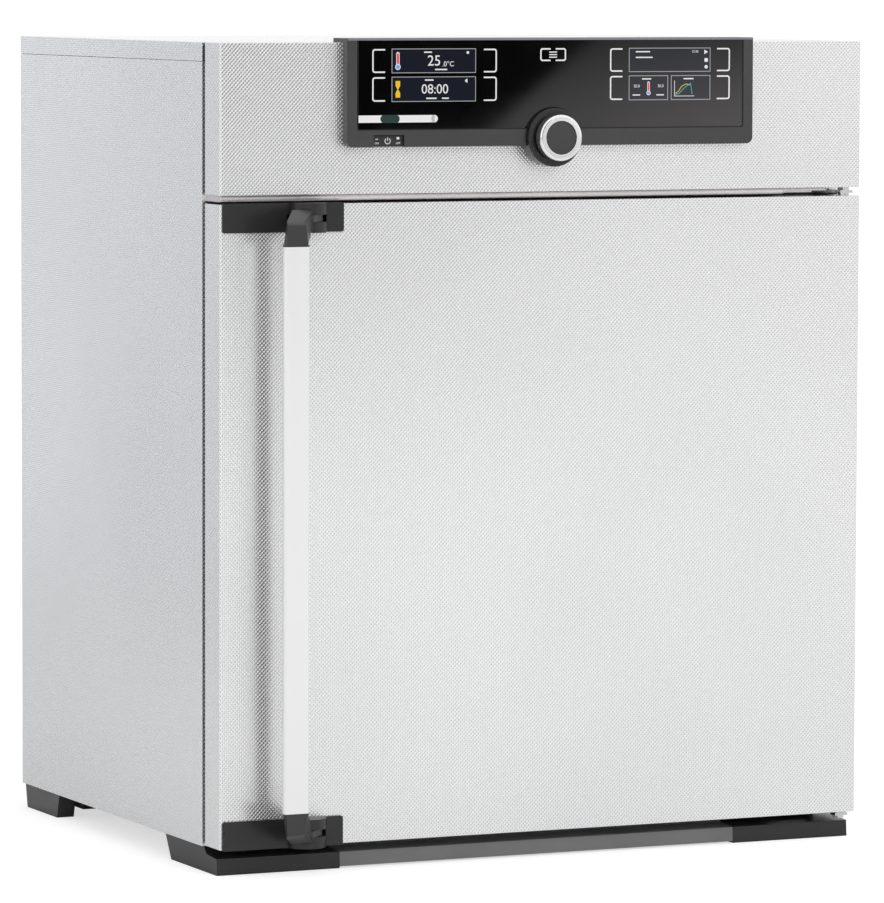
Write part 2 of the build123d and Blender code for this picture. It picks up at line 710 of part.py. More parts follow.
# Seal strip on the front plate for the inner glass door
glass_back = plate_front - 2.7 - SOFT_CLEARANCE
glass_front_y = glass_back - GLASS_THICKNESS
seal_inner = 1.0
chamber_height = chamber_top - chamber_bottom
with BuildPart() as glass_seal:
    with BuildSketch(Plane.XZ.offset(-plate_front)):
        with Locations((0, mid_z)):
            Rectangle(
                2 * chamber_half + 2 * (seal_inner + GLASS_SEAL_WIDTH),
                chamber_height + 2 * (seal_inner + GLASS_SEAL_WIDTH),
            )
            Rectangle(2 * chamber_half + 2 * seal_inner, chamber_height + 2 * seal_inner, mode=Mode.SUBTRACT)
    extrude(amount=plate_front - glass_back - SOFT_CLEARANCE)
write("glass_seal", glass_seal)

# Inner glass door: pane, hinge fittings with a knob, and the brackets that hold it
pane_half = chamber_half + GLASS_OVERLAP
pane_z = (chamber_bottom - GLASS_OVERLAP, chamber_top + GLASS_OVERLAP)
glass_pivot = (pane_half + GLASS_PIVOT_GAP, glass_back - GLASS_THICKNESS / 2)
glass_knob_x = -pane_half + 14.0
with BuildPart() as glass_pane:
    slab((-pane_half, pane_half - 0.5), (glass_front_y, glass_back), pane_z)
    fillet(glass_pane.edges().filter_by(Axis.Y), 3.0)
write("glass_pane", glass_pane)

fitting_height = 22.0
fitting_sheet = 2.5
with BuildPart() as glass_fittings:
    for low in (pane_z[0] + 2.0, pane_z[1] - 2.0 - fitting_height):
        levels = (low, low + fitting_height)
        slab((glass_pivot[0] - 24.0, glass_pivot[0]), (glass_front_y - fitting_sheet, glass_front_y), levels)
        upright_rod(glass_pivot[0], glass_pivot[1], levels, GLASS_KNUCKLE_RADIUS)
        slab(
            (glass_pivot[0] - 2.0, glass_pivot[0]),
            (glass_front_y - fitting_sheet, glass_pivot[1] - GLASS_PIN_RADIUS - 0.5),
            levels,
        )
        bore = GLASS_PIN_RADIUS + TURNING_CLEARANCE
        upright_rod(glass_pivot[0], glass_pivot[1], levels, bore, Mode.SUBTRACT)
    depth_rod(glass_knob_x, (glass_front_y - GLASS_KNOB_LENGTH, glass_front_y), mid_z, GLASS_KNOB_RADIUS)
write("glass_fittings", glass_fittings)

bracket_depth = (glass_pivot[1] - GLASS_KNUCKLE_RADIUS, plate_front)
with BuildPart() as glass_hinge_brackets:
    for end in (-1, 1):
        pane_edge = pane_z[1] if end > 0 else pane_z[0]
        slab(
            (glass_pivot[0] - 3.0, glass_pivot[0] + 6.0),
            bracket_depth,
            span(pane_edge + end * 1.0, pane_edge + end * 12.0),
        )
        pin_z = span(pane_edge + end * 1.0, pane_edge - end * (fitting_height - 6.0))
        upright_rod(glass_pivot[0], glass_pivot[1], pin_z, GLASS_PIN_RADIUS)
write("glass_hinge_brackets", glass_hinge_brackets)

# Wire shelves that lie on the rails
shelf_half = chamber_half - 2.5
shelf_y = (plate_back + 14.0, baffle_front - 5.0)
wire_pitch = 2 * (shelf_half - SHELF_ROD_RADIUS) / (SHELF_WIRE_COUNT + 1)
for name, rail in (("shelf_lower", LOWER_SHELF_RAIL_COUNT), ("shelf_upper", UPPER_SHELF_RAIL_COUNT)):
    shelf_z = rail_tops[rail - 1] + SOFT_CLEARANCE + SHELF_ROD_RADIUS
    rod_x = shelf_half - SHELF_ROD_RADIUS
    rod_y = (shelf_y[0] + SHELF_ROD_RADIUS, shelf_y[1] - SHELF_ROD_RADIUS)
    corner = 12.0
    with BuildPart() as shelf:
        with BuildLine(Plane.XY.offset(shelf_z)) as rim:
            FilletPolyline(
                (rod_x, rod_y[0]),
                (rod_x, rod_y[1]),
                (-rod_x, rod_y[1]),
                (-rod_x, rod_y[0]),
                close=True,
                radius=corner,
            )
        with BuildSketch(Plane(origin=rim.line @ 0, z_dir=rim.line % 0)):
            Circle(SHELF_ROD_RADIUS)
        sweep()
        for wire in range(1, SHELF_WIRE_COUNT + 1):
            depth_rod(-rod_x + wire * wire_pitch, rod_y, shelf_z, SHELF_WIRE_RADIUS)
    write(name, shelf)

# Perforated air baffle with feet to the chamber's back wall
baffle_half = chamber_half - 10.0
baffle_z = (chamber_bottom + 10.0, chamber_top - 10.0)
with BuildPart() as air_baffle:
    slab((-baffle_half, baffle_half), (baffle_front, baffle_front + SHEET), baffle_z)
    for x in (-baffle_half + 12.0, baffle_half - 12.0):
        for z in (baffle_z[0] + 12.0, baffle_z[1] - 12.0):
            depth_rod(x, (baffle_front, chamber_back), z, 5.0)
    with BuildSketch(Plane.XZ.offset(-baffle_front)):
        for ring_count, ring_radius in ((8, 18.0), (14, 34.0), (20, 50.0), (26, 66.0)):
            with Locations((0, cooler_z)):
                with PolarLocations(ring_radius, ring_count):
                    Circle(4.5)
        with Locations((0, baffle_z[0] + 40.0), (0, baffle_z[1] - 40.0)):
            with GridLocations(60.0, 14.0, 8, 2):
                SlotOverall(44.0, 6.0)
    extrude(amount=-2 * SHEET, mode=Mode.SUBTRACT)
write("air_baffle", air_baffle)

with BuildPart() as temperature_probe:
    depth_rod(40.0, (baffle_front - 35.0, baffle_front), chamber_top - 24.0, 2.0)
    depth_rod(40.0, (baffle_front - 3.0, baffle_front), chamber_top - 24.0, 6.0)
write("temperature_probe", temperature_probe)

# Cold side: finned plate in the chamber with two blocks through the insulation
cold_back = chamber_back
cooler_levels = (cooler_z - COOLER_HEIGHT / 2, cooler_z + COOLER_HEIGHT / 2)
cold_fin_pitch = (2 * COOLER_HALF_WIDTH - FIN_THICKNESS) / (COLD_FIN_COUNT - 1)
with BuildPart() as cold_side_heat_sink:
    slab((-COOLER_HALF_WIDTH, COOLER_HALF_WIDTH), (cold_front, cold_back), cooler_levels)
    for fin in range(COLD_FIN_COUNT):
        left = -COOLER_HALF_WIDTH + fin * cold_fin_pitch
        slab((left, left + FIN_THICKNESS), (cold_front - COLD_FIN_DEPTH, cold_front), cooler_levels)
    for side in (-1, 1):
        slab(
            (side * PEDESTAL_X - PEDESTAL_SIZE / 2, side * PEDESTAL_X + PEDESTAL_SIZE / 2),
            (cold_back, peltier_front),
            (cooler_z - PEDESTAL_SIZE / 2, cooler_z + PEDESTAL_SIZE / 2),
        )
    shaft_hole_y = (cold_front - COLD_FIN_DEPTH - 1, cold_back + 1)
    depth_rod(0, shaft_hole_y, cooler_z, FAN_SHAFT_RADIUS + 1.5, Mode.SUBTRACT)
write("cold_side_heat_sink", cold_side_heat_sink)

with BuildPart() as peltier_modules:
    for side in (-1, 1):
        slab(
            (side * PEDESTAL_X - PEDESTAL_SIZE / 2 + 1, side * PEDESTAL_X + PEDESTAL_SIZE / 2 - 1),
            (peltier_front, peltier_back),
            (cooler_z - PEDESTAL_SIZE / 2 + 1, cooler_z + PEDESTAL_SIZE / 2 - 1),
        )
write("peltier_modules", peltier_modules)

hot_fin_pitch = (2 * COOLER_HALF_WIDTH - FIN_THICKNESS) / (HOT_FIN_COUNT - 1)
hot_fin_back = peltier_back + HOT_BASE + HOT_FIN_DEPTH
with BuildPart() as hot_side_heat_sink:
    slab((-COOLER_HALF_WIDTH, COOLER_HALF_WIDTH), (peltier_back, peltier_back + HOT_BASE), cooler_levels)
    for fin in range(HOT_FIN_COUNT):
        left = -COOLER_HALF_WIDTH + fin * hot_fin_pitch
        slab((left, left + FIN_THICKNESS), (peltier_back + HOT_BASE, hot_fin_back), cooler_levels)
write("hot_side_heat_sink", hot_side_heat_sink)

# Circulation fan: motor behind the chamber, rotor in front of the cold fins
rotor_back = cold_front - COLD_FIN_DEPTH - 2.0
rotor_front = rotor_back - CIRCULATION_FAN_DEPTH
motor_y = (liner_back, liner_back + 60.0)
shaft_bore = FAN_SHAFT_RADIUS + TURNING_CLEARANCE
with BuildPart() as circulation_motor:
    slab((-32.0, 32.0), (motor_y[0], motor_y[0] + 3.0), (cooler_z - 32.0, cooler_z + 32.0))
    depth_rod(0, (motor_y[0] + 3.0, motor_y[1]), cooler_z, 28.0)
    depth_rod(0, (motor_y[0] - 1, motor_y[0] + 31.0), cooler_z, shaft_bore, Mode.SUBTRACT)
write("circulation_motor", circulation_motor)

with BuildPart(facing_front(0, (rotor_front + rotor_back) / 2, cooler_z)) as circulation_fan_rotor:
    Cylinder(16.0, CIRCULATION_FAN_DEPTH)
    blade_length = CIRCULATION_FAN_RADIUS - 12.0
    with PolarLocations(12.0 + blade_length / 2, 9):
        Box(blade_length, 18.0, 1.6, rotation=(32, 0, 0))
    shaft_length = motor_y[0] + 30.0 - rotor_back
    with Locations((0, 0, -CIRCULATION_FAN_DEPTH / 2 - shaft_length / 2)):
        Cylinder(FAN_SHAFT_RADIUS, shaft_length)
write("circulation_fan_rotor", circulation_fan_rotor)

# Cover of the cooling module with its exhaust fans
module_levels = (cooler_z - module_rise, cooler_z + module_rise)
fan_back = module_back - SHEET
fan_front = fan_back - EXHAUST_FAN_DEPTH
grille_rows = 9
grille_pitch = 11.0
with BuildPart() as rear_housing:
    slab((-module_half, module_half), (case_back - SHEET, module_back), module_levels)
    fillet(rear_housing.edges().filter_by(Axis.Z).sort_by(Axis.Y)[-2:], EDGE_RADIUS)
    slab(
        (-module_half + SHEET, module_half - SHEET),
        (case_back - SHEET, module_back - SHEET),
        (module_levels[0] + SHEET, module_levels[1] - SHEET),
        Mode.SUBTRACT,
    )
    for side in (-1, 1):
        for row in range(grille_rows):
            height = (row - (grille_rows - 1) / 2) * grille_pitch
            chord = 2 * math.sqrt(exhaust_rotor_radius**2 - height**2)
            with BuildSketch(Plane.XZ.offset(-module_back)):
                with Locations((side * EXHAUST_FAN_X, cooler_z + height)):
                    SlotOverall(chord, 6.0)
            extrude(amount=2 * SHEET, mode=Mode.SUBTRACT)
    for end in (-1, 1):
        with BuildSketch(Plane.XY.offset(cooler_z + end * (module_rise + 1))):
            with Locations((0, (case_back + module_back) / 2)):
                with GridLocations(40.0, 0, 8, 1):
                    SlotOverall(50.0, 8.0, rotation=90)
        extrude(amount=-end * 3 * SHEET, mode=Mode.SUBTRACT)
write("rear_housing", rear_housing)

strut_ends = (15.0, exhaust_rotor_radius + 5.0)
with BuildPart() as exhaust_fan_frames:
    for side in (-1, 1):
        centre = side * EXHAUST_FAN_X
        slab(
            (centre - EXHAUST_FAN_SIZE / 2, centre + EXHAUST_FAN_SIZE / 2),
            (fan_front, fan_back),
            (cooler_z - EXHAUST_FAN_SIZE / 2, cooler_z + EXHAUST_FAN_SIZE / 2),
        )
        depth_rod(centre, (fan_front - 1, fan_back + 1), cooler_z, exhaust_rotor_radius + 3.0, Mode.SUBTRACT)
        depth_rod(centre, (fan_front, fan_front + 4.0), cooler_z, 20.0)
        with Locations(facing_front(centre, fan_front + 2.0, cooler_z)):
            with PolarLocations(sum(strut_ends) / 2, 3, start_angle=30):
                Box(strut_ends[1] - strut_ends[0], 5.0, 4.0)
        depth_rod(centre, (fan_front + 4.0, fan_back - 3.0), cooler_z, 4.0)
write("exhaust_fan_frames", exhaust_fan_frames)

rotor_span = (fan_front + 4.5, fan_back - 2.0)
for side, name in ((-1, "exhaust_fan_rotor_left"), (1, "exhaust_fan_rotor_right")):
    centre = side * EXHAUST_FAN_X
    rotor_plane = facing_front(centre, sum(rotor_span) / 2, cooler_z)
    with BuildPart(rotor_plane) as exhaust_rotor:
        Cylinder(19.0, rotor_span[1] - rotor_span[0])
        vane_length = exhaust_rotor_radius - 16.0
        with PolarLocations(16.0 + vane_length / 2, 7):
            Box(vane_length, 20.0, 1.8, rotation=(35, 0, 0))
        bearing_depth = rotor_span[1] - 0.5 - rotor_span[0]
        with Locations((0, 0, (rotor_span[1] - rotor_span[0] - bearing_depth) / 2)):
            Cylinder(4.0 + TURNING_CLEARANCE, bearing_depth, mode=Mode.SUBTRACT)
    write(name, exhaust_rotor)

# Mains inlet in the rear panel, with its three blades
inlet_flange = (31.0, 24.0)
with BuildPart() as power_inlet:
    slab(
        (inlet_x - inlet_flange[0] / 2 - 6, inlet_x + inlet_flange[0] / 2 + 6),
        (case_back - SHEET, case_back + 2.0),
        (inlet_z - inlet_flange[1] / 2, inlet_z + inlet_flange[1] / 2),
    )
    slab(
        (inlet_x - inlet_size[0] / 2 + 0.2, inlet_x + inlet_size[0] / 2 - 0.2),
        (rear_panel_front - 18.0, case_back),
        (inlet_z - inlet_size[1] / 2 + 0.2, inlet_z + inlet_size[1] / 2 - 0.2),
    )
    slab(
        (inlet_x - 12.0, inlet_x + 12.0),
        (case_back - INLET_DEPTH, case_back + 3.0),
        (inlet_z - 8.0, inlet_z + 8.0),
        Mode.SUBTRACT,
    )
    for x, z in ((-7.0, -2.0), (0.0, 2.0), (7.0, -2.0)):
        slab(
            (inlet_x + x - 1.0, inlet_x + x + 1.0),
            (case_back - INLET_DEPTH - 1.0, case_back - 1.0),
            (inlet_z + z - 2.0, inlet_z + z + 2.0),
        )
write("power_inlet", power_inlet)

# Feet: two wide front feet, a bar between them, and narrow rear feet on a cross bar
with BuildPart() as front_feet:
    for side in (-1, 1):
        with BuildSketch(Plane.YZ.offset(min(side * foot_outer, side * front_foot_inner))):
            with BuildLine():
                Polyline(
                    (face + FRONT_FOOT_FRONT, 0),
                    (face + FRONT_FOOT_FRONT + 1.3, FRONT_FOOT_NOSE_HEIGHT),
                    (face + FRONT_FOOT_SHELF_BACK, FRONT_FOOT_SHELF_HEIGHT),
                    (face + FRONT_FOOT_SEAT, FOOT_HEIGHT),
                    (face + FRONT_FOOT_BACK, FOOT_HEIGHT),
                    (face + FRONT_FOOT_BASE_BACK, 0),
                    close=True,
                )
            make_face()
        extrude(amount=FRONT_FOOT_WIDTH)
    fillet(front_feet.edges().filter_by(Axis.X).group_by(Axis.Y)[0], 1.0)
    arm_pocket = (pivot[0] - 80.0, foot_outer)
    slab(arm_pocket, (face, case_front + 42.0), (FRONT_FOOT_SHELF_HEIGHT, FOOT_HEIGHT + 1), Mode.SUBTRACT)
    for x, y in foot_screws[:2] + foot_screws[4:6]:
        upright_rod(x, y, (0, FOOT_HEIGHT), FOOT_SCREW_RADIUS, Mode.SUBTRACT)
        upright_rod(x, y, (0, FOOT_SCREW_SINK), FOOT_SCREW_HEAD, Mode.SUBTRACT)
write("front_feet", front_feet)

with BuildPart() as front_bar:
    with BuildSketch(Plane.YZ.offset(-front_foot_inner)):
        with BuildLine():
            Polyline(
                (face + FRONT_FOOT_FRONT + 0.2, 2.0),
                (face + FRONT_FOOT_FRONT + 1.3, FRONT_FOOT_NOSE_HEIGHT),
                (face + FRONT_FOOT_SHELF_BACK, FRONT_FOOT_SHELF_HEIGHT),
                (face + FRONT_FOOT_SEAT, FOOT_HEIGHT),
                (face + FRONT_FOOT_SEAT + 30.0, FOOT_HEIGHT),
                (face + FRONT_FOOT_SEAT + 30.0, 2.0),
                close=True,
            )
        make_face()
    extrude(amount=2 * front_foot_inner)
write("front_bar", front_bar)

with BuildPart() as rear_feet:
    for side in (-1, 1):
        with BuildSketch(Plane.YZ.offset(min(side * foot_outer, side * rear_foot_inner))):
            with BuildLine():
                Polyline(
                    (case_back - REAR_FOOT_FRONT, FOOT_HEIGHT),
                    (case_back - REAR_FOOT_BASE_FRONT, 0),
                    (case_back - REAR_FOOT_BASE_BACK, 0),
                    (case_back - REAR_FOOT_BACK, FOOT_HEIGHT),
                    close=True,
                )
            make_face()
        extrude(amount=REAR_FOOT_WIDTH)
    for x, y in foot_screws[2:4] + foot_screws[6:8]:
        upright_rod(x, y, (0, FOOT_HEIGHT), FOOT_SCREW_RADIUS, Mode.SUBTRACT)
        upright_rod(x, y, (0, FOOT_SCREW_SINK), FOOT_SCREW_HEAD, Mode.SUBTRACT)
write("rear_feet", rear_feet)

with BuildPart() as rear_cross_bar:
    slab(
        (-rear_foot_inner, rear_foot_inner),
        (case_back - REAR_BAR_FRONT, case_back - REAR_BAR_BACK),
        (REAR_BAR_BOTTOM, FOOT_HEIGHT),
    )
    slab(
        (-rear_foot_inner, rear_foot_inner),
        (case_back - REAR_BAR_BACK, case_back - REAR_FOOT_BASE_FRONT + 20.0),
        (FOOT_HEIGHT - 6.0, FOOT_HEIGHT),
    )
write("rear_cross_bar", rear_cross_bar)

# Door hinges: a plate above and one below the door, each with a shoulder pin
top_arm_z = (strip_z[0] + 0.3, strip_z[0] + 0.3 + HINGE_PLATE)
bottom_arm_z = (case_bottom - HINGE_PLATE, case_bottom)
with BuildPart() as hinge_arms:
    for levels in (top_arm_z, bottom_arm_z):
        with BuildSketch(Plane.XY.offset(levels[0])):
            with BuildLine():
                Polyline(
                    (pivot[0] - 72.0, plate_front if levels is top_arm_z else plate_front + 34.0),
                    (pivot[0] - 72.0, case_front - 6.0),
                    (pivot[0] - 24.0, case_front - 6.0),
                    (pivot[0] - 7.5, pivot[1] + 4.0),
                    (pivot[0] - 7.5, pivot[1] - 7.5),
                    (pivot[0] + 7.5, pivot[1] - 7.5),
                    (pivot[0] + 7.5, pivot[1] + 7.5),
                    (pivot[0] - 6.0, plate_front if levels is top_arm_z else plate_front + 34.0),
                    close=True,
                )
            make_face()
        extrude(amount=HINGE_PLATE)
        upright_rod(pivot[0], pivot[1], (levels[0] - 1, levels[1] + 1), HINGE_PIN_RADIUS, Mode.SUBTRACT)
write("hinge_arms", hinge_arms)

pin_reach = 14.0
washer_top = door_top + SLIDING_CLEARANCE
with BuildPart() as hinge_pins:
    upright_rod(pivot[0], pivot[1], (door_top - pin_reach, top_arm_z[1] + 0.2), HINGE_PIN_RADIUS)
    upright_rod(pivot[0], pivot[1], (washer_top, top_arm_z[0]), HINGE_WASHER_RADIUS)
    with BuildSketch(Plane.XY.offset(top_arm_z[1])):
        with Locations(pivot):
            RegularPolygon(HINGE_NUT_RADIUS, 6)
    extrude(amount=fascia_bottom - 0.3 - top_arm_z[1])
    upright_rod(pivot[0], pivot[1], (bottom_arm_z[0] - 0.2, door_bottom + pin_reach), HINGE_PIN_RADIUS)
    upright_rod(pivot[0], pivot[1], (bottom_arm_z[1], door_bottom - SLIDING_CLEARANCE), HINGE_WASHER_RADIUS)
    with BuildSketch(Plane.XY.offset(bottom_arm_z[0])):
        with Locations(pivot):
            RegularPolygon(HINGE_NUT_RADIUS, 6)
    extrude(amount=-3.0)
write("hinge_pins", hinge_pins)

# Keepers on the front plate beside the handle's latch tongues
keeper_left = knuckle[0] + TONGUE_WIDTH / 2 + SLIDING_CLEARANCE
with BuildPart() as latch_keepers:
    for level in lever_levels:
        slab(
            (keeper_left, keeper_left + 9.0),
            (door_back + 1.1, plate_front),
            (level - 5.5, level + 5.5),
        )
write("latch_keepers", latch_keepers)

# Door shell: a folded sheet box, open at the back
opening_half_height = BRACKET_HEIGHT / 2 - 3.0
with BuildPart() as door_shell:
    slab((-half_width, half_width), (face, door_back), (door_bottom, door_top))
    fillet(door_shell.edges().filter_by(Axis.Z).sort_by(Axis.Y)[:2], EDGE_RADIUS)
    slab(
        (-inner_half, inner_half),
        (face + SHEET, door_back),
        (door_bottom + SHEET, door_top - SHEET),
        Mode.SUBTRACT,
    )
    for level in lever_levels:
        slab(
            (knuckle[0] - KNUCKLE_RADIUS - 2.0, knuckle[0] + KNUCKLE_RADIUS + 2.0),
            (face - 1, face + SHEET + 1),
            (level - opening_half_height, level + opening_half_height),
            Mode.SUBTRACT,
        )
    for end in ((door_bottom - 1, door_bottom + 2), (door_top - 2, door_top + 1)):
        upright_rod(pivot[0], pivot[1], end, HINGE_PIN_RADIUS + 0.5, Mode.SUBTRACT)
write("door_shell", door_shell)

# Dished inner panel of the door
recess_half = pane_half + RECESS_MARGIN / 2
recess_z = (pane_z[0] - RECESS_MARGIN / 2 - 3.0, pane_z[1] + RECESS_MARGIN / 2 + 3.0)
recess_floor = door_back - DOOR_RECESS
with BuildPart() as door_inner_panel:
    slab((-inner_half, inner_half), (door_back - SHEET, door_back), (door_bottom + SHEET, door_top - SHEET))
    slab(
        (-recess_half - SHEET, recess_half + SHEET),
        (recess_floor - SHEET, door_back - SHEET),
        (recess_z[0] - SHEET, recess_z[1] + SHEET),
    )
    slab((-recess_half, recess_half), (recess_floor, door_back + 1), recess_z, Mode.SUBTRACT)
    for level in lever_levels:
        slab(
            (knuckle[0] - 42.0, knuckle[0] + TONGUE_WIDTH / 2 + 3.0),
            (door_back - 2, door_back + 1),
            (level - LEVER_SLOT / 2 - 1.0, level + LEVER_SLOT / 2 + 1.0),
            Mode.SUBTRACT,
        )
write("door_inner_panel", door_inner_panel)

with BuildPart() as door_insulation:
    slab(
        (-recess_half - 10.0, recess_half + 10.0),
        (face + SHEET, recess_floor - SHEET),
        (recess_z[0] - 10.0, recess_z[1] + 10.0),
    )
write("door_insulation", door_insulation)

# Silicone seal round the door's recess
seal_half = recess_half + DOOR_SEAL_OFFSET
seal_half_height = (recess_z[1] - recess_z[0]) / 2 + DOOR_SEAL_OFFSET
with BuildPart() as door_seal:
    with BuildSketch(Plane.XZ.offset(-door_back)) as seal_ring:
        with Locations((0, mid_z)):
            Rectangle(2 * (seal_half + DOOR_SEAL_WIDTH), 2 * (seal_half_height + DOOR_SEAL_WIDTH))
            fillet(seal_ring.vertices(), 12.0)
            Rectangle(2 * seal_half, 2 * seal_half_height, mode=Mode.SUBTRACT)
    extrude(amount=-(plate_front - SOFT_CLEARANCE - door_back))
write("door_seal", door_seal)

# Hinge blocks in the door's corners, bored for the pins
with BuildPart() as door_hinge_blocks:
    for levels in ((door_bottom + SHEET, door_bottom + 20.0), (door_top - 20.0, door_top - SHEET)):
        slab((pivot[0] - 16.0, inner_half), (face + SHEET, pivot[1] + 12.0), levels)
        bore = HINGE_PIN_RADIUS + TURNING_CLEARANCE
        upright_rod(pivot[0], pivot[1], (levels[0] - 1, levels[1] + 1), bore, Mode.SUBTRACT)
write("door_hinge_blocks", door_hinge_blocks)

# Handle brackets: a flat plate, a slotted half-round knuckle and an end block
bracket_far = door_top + BRACKET_RISE - BRACKET_HEIGHT / 2
bracket_left = -half_width + BRACKET_SIDE_INSET
bracket_right = bracket_left + BRACKET_LENGTH
plate_lap = KNUCKLE_RADIUS - BRACKET_CORNER
with BuildPart() as handle_brackets:
    for end in (-1, 1):
        middle = mid_z + end * (bracket_far - mid_z)
        level = mid_z + end * (lever_level - mid_z)
        tall = (middle - BRACKET_HEIGHT / 2, middle + BRACKET_HEIGHT / 2)
        for plate_x in ((bracket_left, knuckle[0] - plate_lap), (knuckle[0] + plate_lap, bracket_right)):
            with BuildSketch(Plane.XZ.offset(-face)):
                with Locations((sum(plate_x) / 2, middle)):
                    RectangleRounded(plate_x[1] - plate_x[0], BRACKET_HEIGHT, BRACKET_CORNER)
            extrude(amount=BRACKET_PROUD)
        slab(
            (knuckle[0] - KNUCKLE_RADIUS - 1.5, knuckle[0] + KNUCKLE_RADIUS + 1.5),
            (face - BRACKET_PROUD, face + HOUSING_DEPTH),
            (level - opening_half_height + 0.5, level + opening_half_height - 0.5),
        )
        with BuildSketch(Plane.XY.offset(tall[0])):
            with Locations(knuckle):
                Circle(KNUCKLE_RADIUS)
            with Locations((knuckle[0], face + KNUCKLE_RADIUS)):
                Rectangle(2 * KNUCKLE_RADIUS + 2, 2 * KNUCKLE_RADIUS, mode=Mode.SUBTRACT)
        extrude(amount=BRACKET_HEIGHT)
        slab(
            (knuckle[0] - KNUCKLE_RADIUS - 3.0, knuckle[0] + KNUCKLE_RADIUS + 0.1),
            (face - KNUCKLE_RADIUS - 1, face + HOUSING_DEPTH + 1),
            (level - LEVER_SLOT / 2, level + LEVER_SLOT / 2),
            Mode.SUBTRACT,
        )
        pin_levels = (level - opening_half_height + 3.0, level + opening_half_height - 3.0)
        upright_rod(knuckle[0], knuckle[1], pin_levels, LEVER_PIN_RADIUS, Mode.SUBTRACT)
write("handle_brackets", handle_brackets)

with BuildPart() as handle_pivot_pins:
    for level in lever_levels:
        pin_levels = (level - opening_half_height + 3.0, level + opening_half_height - 3.0)
        upright_rod(knuckle[0], knuckle[1], pin_levels, LEVER_PIN_RADIUS)
write("handle_pivot_pins", handle_pivot_pins)

# Handle bar: a hollow extrusion with a flat front and sides that close in behind
bar_middle = -half_width + BAR_INSET
bar_x = (bar_middle - BAR_WIDTH / 2, bar_middle + BAR_WIDTH / 2)
bar_back = handle_front + BAR_DEPTH
bar_z = (2 * mid_z - bar_top, bar_top)
bar_outline = (
    (bar_x[0], handle_front + BAR_BEVEL),
    (bar_x[0] + BAR_BEVEL, handle_front),
    (bar_x[1] - BAR_BEVEL, handle_front),
    (bar_x[1], handle_front + BAR_BEVEL),
    (bar_x[1], handle_front + BAR_SIDE),
    (bar_x[1] - BAR_TAPER, bar_back),
    (bar_x[0] + BAR_TAPER, bar_back),
    (bar_x[0], handle_front + BAR_SIDE),
)
with BuildPart() as handle_bar:
    with BuildSketch(Plane.XY.offset(bar_z[0])):
        with BuildLine():
            Polyline(*bar_outline, close=True)
        make_face()
        offset(amount=-BAR_WALL, kind=Kind.INTERSECTION, mode=Mode.SUBTRACT)
    extrude(amount=bar_z[1] - bar_z[0])
write("handle_bar", handle_bar)

# Lever arms: a cap on the bar that tapers back to a flat boss in the knuckle
arm_back = face - ARM_BACK_GAP
arm_back_x = (-half_width + ARM_BACK_INSET, -half_width + ARM_BACK_INSET + ARM_BACK_WIDTH)
arm_back_z = (lever_level - ARM_BACK_HEIGHT / 2, lever_level + ARM_BACK_HEIGHT / 2)
cap_top = lever_level - CAP_BELOW_LEVER
cap_shoulder = lever_level - SHOULDER_BELOW_LEVER
cap_shoulder_y = handle_front + CAP_CHAMFER_DEPTH
cap_front_section = (
    (bar_x[0] + BAR_BEVEL, bar_top),
    (bar_x[1] - BAR_BEVEL, bar_top),
    (bar_x[1] - 4.4, cap_top),
    (bar_x[0] + 3.0, cap_top),
)
cap_shoulder_section = (
    (bar_x[0] + 0.6, bar_top),
    (bar_x[1], bar_top),
    (bar_x[1] - 3.6, cap_shoulder),
    (bar_x[0] + 4.2, cap_shoulder),
)
arm_back_section = (
    (arm_back_x[0], arm_back_z[0]),
    (arm_back_x[1], arm_back_z[0]),
    (arm_back_x[1], arm_back_z[1]),
    (arm_back_x[0], arm_back_z[1]),
)
arm_spans = (
    (handle_front, cap_front_section, cap_shoulder_y, cap_shoulder_section),
    (cap_shoulder_y, cap_shoulder_section, arm_back, arm_back_section),
)
with BuildPart() as handle_arms:
    for near, near_section, far, far_section in arm_spans:
        for depth, section in ((near, near_section), (far, far_section)):
            with BuildSketch(Plane.XZ.offset(-depth)):
                with BuildLine():
                    Polyline(*section, close=True)
                make_face()
        loft()
    with BuildSketch(Plane.XY.offset(bar_top)):
        with BuildLine():
            Polyline(*bar_outline, close=True)
        make_face()
    extrude(amount=CAP_SKIRT)
    with BuildSketch(Plane.XY.offset(bar_top - PLUG_LENGTH)):
        with BuildLine(mode=Mode.PRIVATE) as plug_line:
            Polyline(*bar_outline, close=True)
        add(make_face(plug_line.line.edges(), mode=Mode.PRIVATE))
        offset(amount=-BAR_WALL - SLIDING_CLEARANCE, kind=Kind.INTERSECTION, mode=Mode.REPLACE)
    extrude(amount=PLUG_LENGTH)
    with BuildSketch(Plane.XY.offset(lever_level - LEVER_THICKNESS / 2)):
        with Locations(knuckle):
            Circle(LEVER_BOSS_RADIUS)
        with Locations((sum(arm_back_x) / 2, arm_back - 2.0)):
            Rectangle(ARM_BACK_WIDTH, 4.0)
        make_hull()
    extrude(amount=LEVER_THICKNESS)
    slab(
        (knuckle[0] - TONGUE_WIDTH / 2, knuckle[0] + TONGUE_WIDTH / 2),
        (face + 8.0, door_back + 5.0),
        (lever_level - LEVER_THICKNESS / 2, lever_level + LEVER_THICKNESS / 2),
    )
    lever_bore = LEVER_PIN_RADIUS + TURNING_CLEARANCE
    upright_rod(knuckle[0], knuckle[1], (lever_level - 8, lever_level + 8), lever_bore, Mode.SUBTRACT)
    mirror(about=Plane.XY.offset(mid_z))
write("handle_arms", handle_arms)

